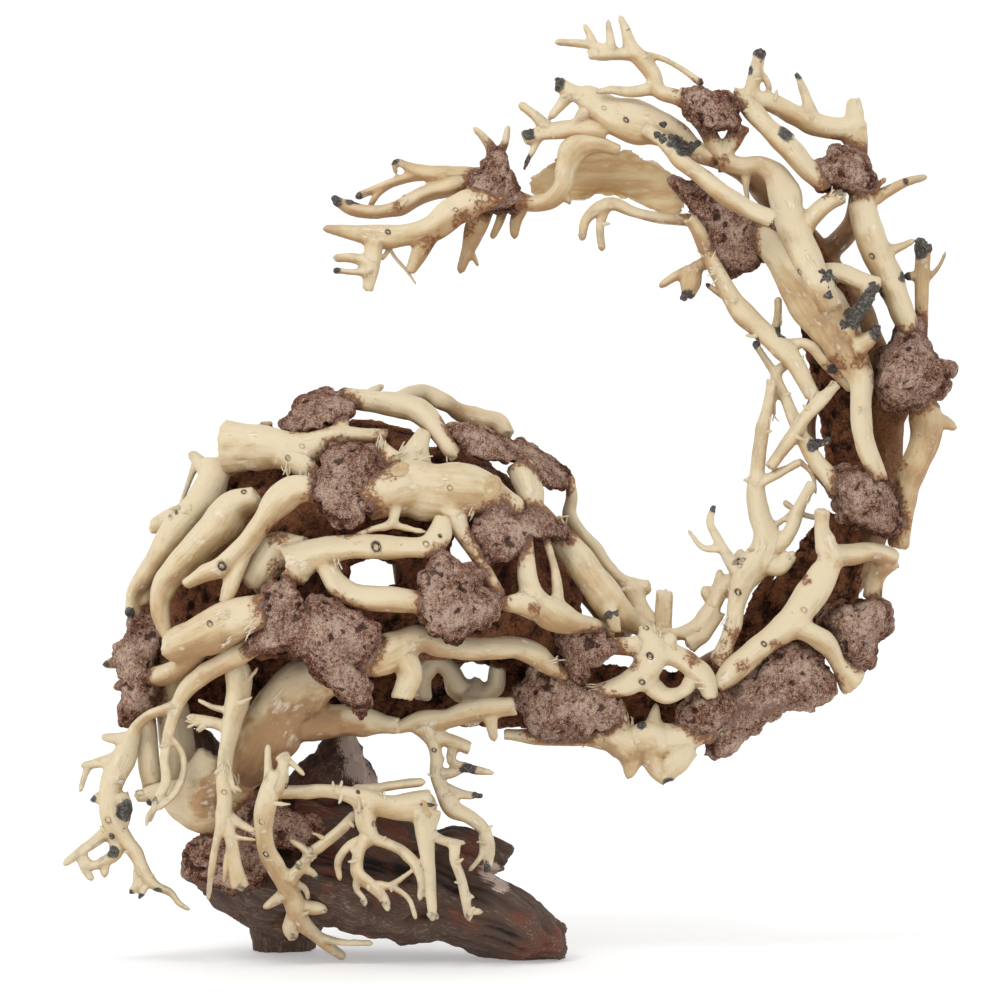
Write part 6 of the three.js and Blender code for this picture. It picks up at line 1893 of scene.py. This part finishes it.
@dataclass
class Knots(Marks):
    """Small knots and cut branch rings, each set where it shows on the nearest stick."""

    reaches: tuple[float, ...] = (0.18, 0.42, 0.6, 0.8, 1.02, 1.35)
    sides: int = 16
    stub_width: float = 0.62
    slot_width: float = 3.2
    spots: dict[KnotKind, Spots] = field(default_factory=lambda: {
        KnotKind.RING: ((-61,364,1.4), (130,407,2.6), (137,315,1.6), (114,184,1.6), (115,199,2.2),
          (145,196,2.6), (-111,251,1.5), (-67,206.5,2.6), (-144,197,2.2), (-133,234,1.5), (68,166,1.4),
          (70,152,1.7), (66,139,1.6), (106,113,2), (-68,68,1.6), (-112,87,1.4), (-122,53,1.6),
          (-92,146,1.5), (3,118,1.8), (-150,168,1.6), (58,420,1.4), (181,352,1.6), (127,158,1.4),
          (145,344,1.7), (-38,105,1.2), (-88,155,1.4)),
        KnotKind.HOLE: ((-49,387,1.3), (-53,382,1.2), (70,407,1.2), (74,402,1.2), (108,183,1.5),
          (-99,249,1.4), (-42,208,1.6), (82,156,1.4), (58,157,1.4), (-96,81,1.3), (-84,88,1.3),
          (-201,70,1.8), (-124,69,2), (-15,122,1.5), (-30,236,1.5), (47,426,1.2), (205,262,1.5),
          (147,175,1.5), (-104,257,1.3), (-27,375,1.3), (-143,84,1.3)),
        KnotKind.STUB: ((186,374,1.8), (50,172,1.8), (-88,79,1.8), (-76,84,1.6), (-199,62,2.2),
          (-35,212,1.6)),
        KnotKind.CUT: ((-39.5,77.6,5.2), (-9,236,4.6), (-55,246,4)),
        KnotKind.SLOT: ((-41,77.6,1.1),),
    })

    def build(self, parts: Workshop) -> None:
        """Sets each knot on the piece that is seen at its place.

        Args:
            parts: the shared finishes and origin.
        """
        made: dict[str, list[bpy.types.Mesh]] = {}
        for kind, spots in self.spots.items():
            for x, z, radius in spots:
                found = self.struck(x, z, parts)
                if found:
                    made.setdefault(found[0].name, []).append(self.ring(found[1], found[2], radius, kind))
        self.attach(made)

    def ring(self, spot: Vector, normal: Vector, radius: float, kind: KnotKind) -> bpy.types.Mesh:
        """Builds one knot.

        Args:
            spot: where it sits.
            normal: which way it faces.
            radius: its radius in millimetres.
            kind: how it looks.

        Returns:
            The knot's mesh, with the tone that its wood finish reads.
        """
        shades, heights = kind.value
        wide = self.slot_width if kind is KnotKind.SLOT else 1.0
        size = radius * MM * (self.stub_width if kind is KnotKind.STUB else 1.0)
        a = np.arange(self.sides) * 2 * math.pi / self.sides
        out = np.outer(self.reaches, 1 + 0.12 * np.cos(2 * a + radius)) * size
        high = np.repeat(heights, self.sides) * radius * MM
        rows = np.stack([(wide * out * np.cos(a)).ravel(), (out * np.sin(a)).ravel(), high], 1)
        rows = np.vstack([(0, 0, heights[0] * radius * MM), rows])
        turn = np.array(normal.to_track_quat("Z", "Y").to_matrix())
        points = np.array(spot) + rows @ turn.T
        mesh = mesh_of("knot", points, woven(np.arange(len(points) - 1).reshape(-1, self.sides) + 1, 0))
        tone = np.zeros((len(points), 4))
        tone[:, 0] = [shades[0], *np.repeat(shades, self.sides)]
        store(mesh, "grain", points / MM)
        store(mesh, "tone", tone)
        store(mesh, "warmth_and_shade", np.full(len(points), 0.55 if kind is KnotKind.CUT else 0.45))
        return mesh


@dataclass
class Studio:
    """A pale paper bowl round the piece, soft lights and the camera at the photograph's angle."""

    floor_reach: float = 3.0
    wall_reach: float = 4.4
    wall_height: float = 5.5
    sides: int = 72
    sink: float = 0.0004
    aim: tuple[float, float, float] = (0, 0, 0.22)
    sky: float = 0.6
    lens: float = 144.0
    sensor: float = 36.0
    sight: float = 60.0
    lights: tuple[tuple[str, tuple[float, float, float], float, float], ...] = (
        ("key_light", (-1.1, -1.5, 2.1), 0.9, 22.0),
        ("fill_light", (1.9, -1.6, 0.9), 1.4, 2.5),
        ("top_light", (0.2, 0.5, 2.4), 1.2, 5.0),
    )

    def build(self, origin: np.ndarray) -> None:
        """Sets up the paper, the lights and the camera.

        Args:
            origin: where the stick points' own origin lies in the part's frame, in millimetres.
        """
        self.paper()
        for name, place, size, power in self.lights:
            light = bpy.data.lights.new(name, "AREA")
            light.shape, light.size, light.energy = "DISK", size, power
            lamp = linked(name, light)
            lamp.location = place
            lamp.rotation_euler = (Vector(self.aim) - lamp.location).to_track_quat("-Z", "Y").to_euler()
        world = bpy.data.worlds.new("studio")
        world.use_nodes = True
        sky = world.node_tree.nodes["Background"].inputs
        sky["Color"].default_value, sky["Strength"].default_value = (1, 1, 1, 1), self.sky
        bpy.context.scene.world = world
        camera = bpy.data.cameras.new("camera")
        camera.lens, camera.sensor_width, camera.clip_end = self.lens, self.sensor, self.sight
        view = linked("camera", camera)
        view.location = (EYE.placed(EYE.x, EYE.z, 0) + origin + (0, -EYE.distance, 0)) * MM
        view.rotation_euler = (math.pi / 2, 0, 0)
        bpy.context.scene.camera = view
        bpy.context.scene.view_settings.view_transform = "Standard"

    def paper(self) -> None:
        """Builds the round floor that curves up into a wall."""
        bend = self.wall_reach - self.floor_reach
        profile = [(r * self.floor_reach, 0.0) for r in (0.2, 0.5, 1.0)]
        for step in range(1, 13):
            a = step / 12 * math.pi / 2
            profile.append((self.floor_reach + bend * math.sin(a), bend * (1 - math.cos(a))))
        profile.append((self.wall_reach, self.wall_height))
        sides = self.sides
        points = [(0.0, 0.0, 0.0)]
        for reach, high in profile:
            for side in range(sides):
                turn = 2 * math.pi * side / sides
                points.append((reach * math.cos(turn), reach * math.sin(turn), high))
        ring = np.arange(len(profile) * sides).reshape(-1, sides) + 1
        mesh = mesh_of("paper", np.array(points) - (0, 0, self.sink), woven(ring, 0))
        mesh.materials.append(StudioPaper().material())
        mesh.shade_smooth()
        paper = linked("studio_paper", mesh)


def origin_of(clusters: list[RootCluster]) -> np.ndarray:
    """Finds where the stick points' own origin lies in the part's frame.

    Args:
        clusters: the clusters whose roots are nodes of the part.

    Returns:
        The offset from the stick points to the part's frame, in millimetres.
    """
    offsets = []
    for cluster in clusters:
        for name, limbs in cluster.roots.items():
            rows = np.concatenate([one.stations for one in limbs])
            low, high = (rows[:, :3] - rows[:, 3:]).min(0), (rows[:, :3] + rows[:, 3:]).max(0)
            box = np.array([tuple(corner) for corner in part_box(name)]) / MM
            offsets.append(box.mean(0) - (low + high) / 2)
    return np.median(offsets, axis=0)


def main() -> None:
    """Builds the studio and the piece, one sub-assembly after the other."""
    logging.basicConfig(level=logging.INFO, format="%(message)s")
    clusters = [Keel(), Dome(), HangingRoots(), Column(), UpperArc(), FreeTip(), BackRoots()]
    origin = origin_of(clusters)
    origin[2] = -DriftwoodBase().ground
    log.info("stick points' origin at %s mm", np.round(origin, 2).tolist())
    Studio().build(origin)
    parts = Workshop(origin)
    PuttyLumps().build(parts)
    Linings().build(parts)
    BarkShell().build(parts)
    DriftwoodBase().build(parts)
    for cluster in clusters:
        cluster.build(parts)
    Knots().build(parts)
    Tufts().build(parts)


if __name__ == "__main__":
    main()
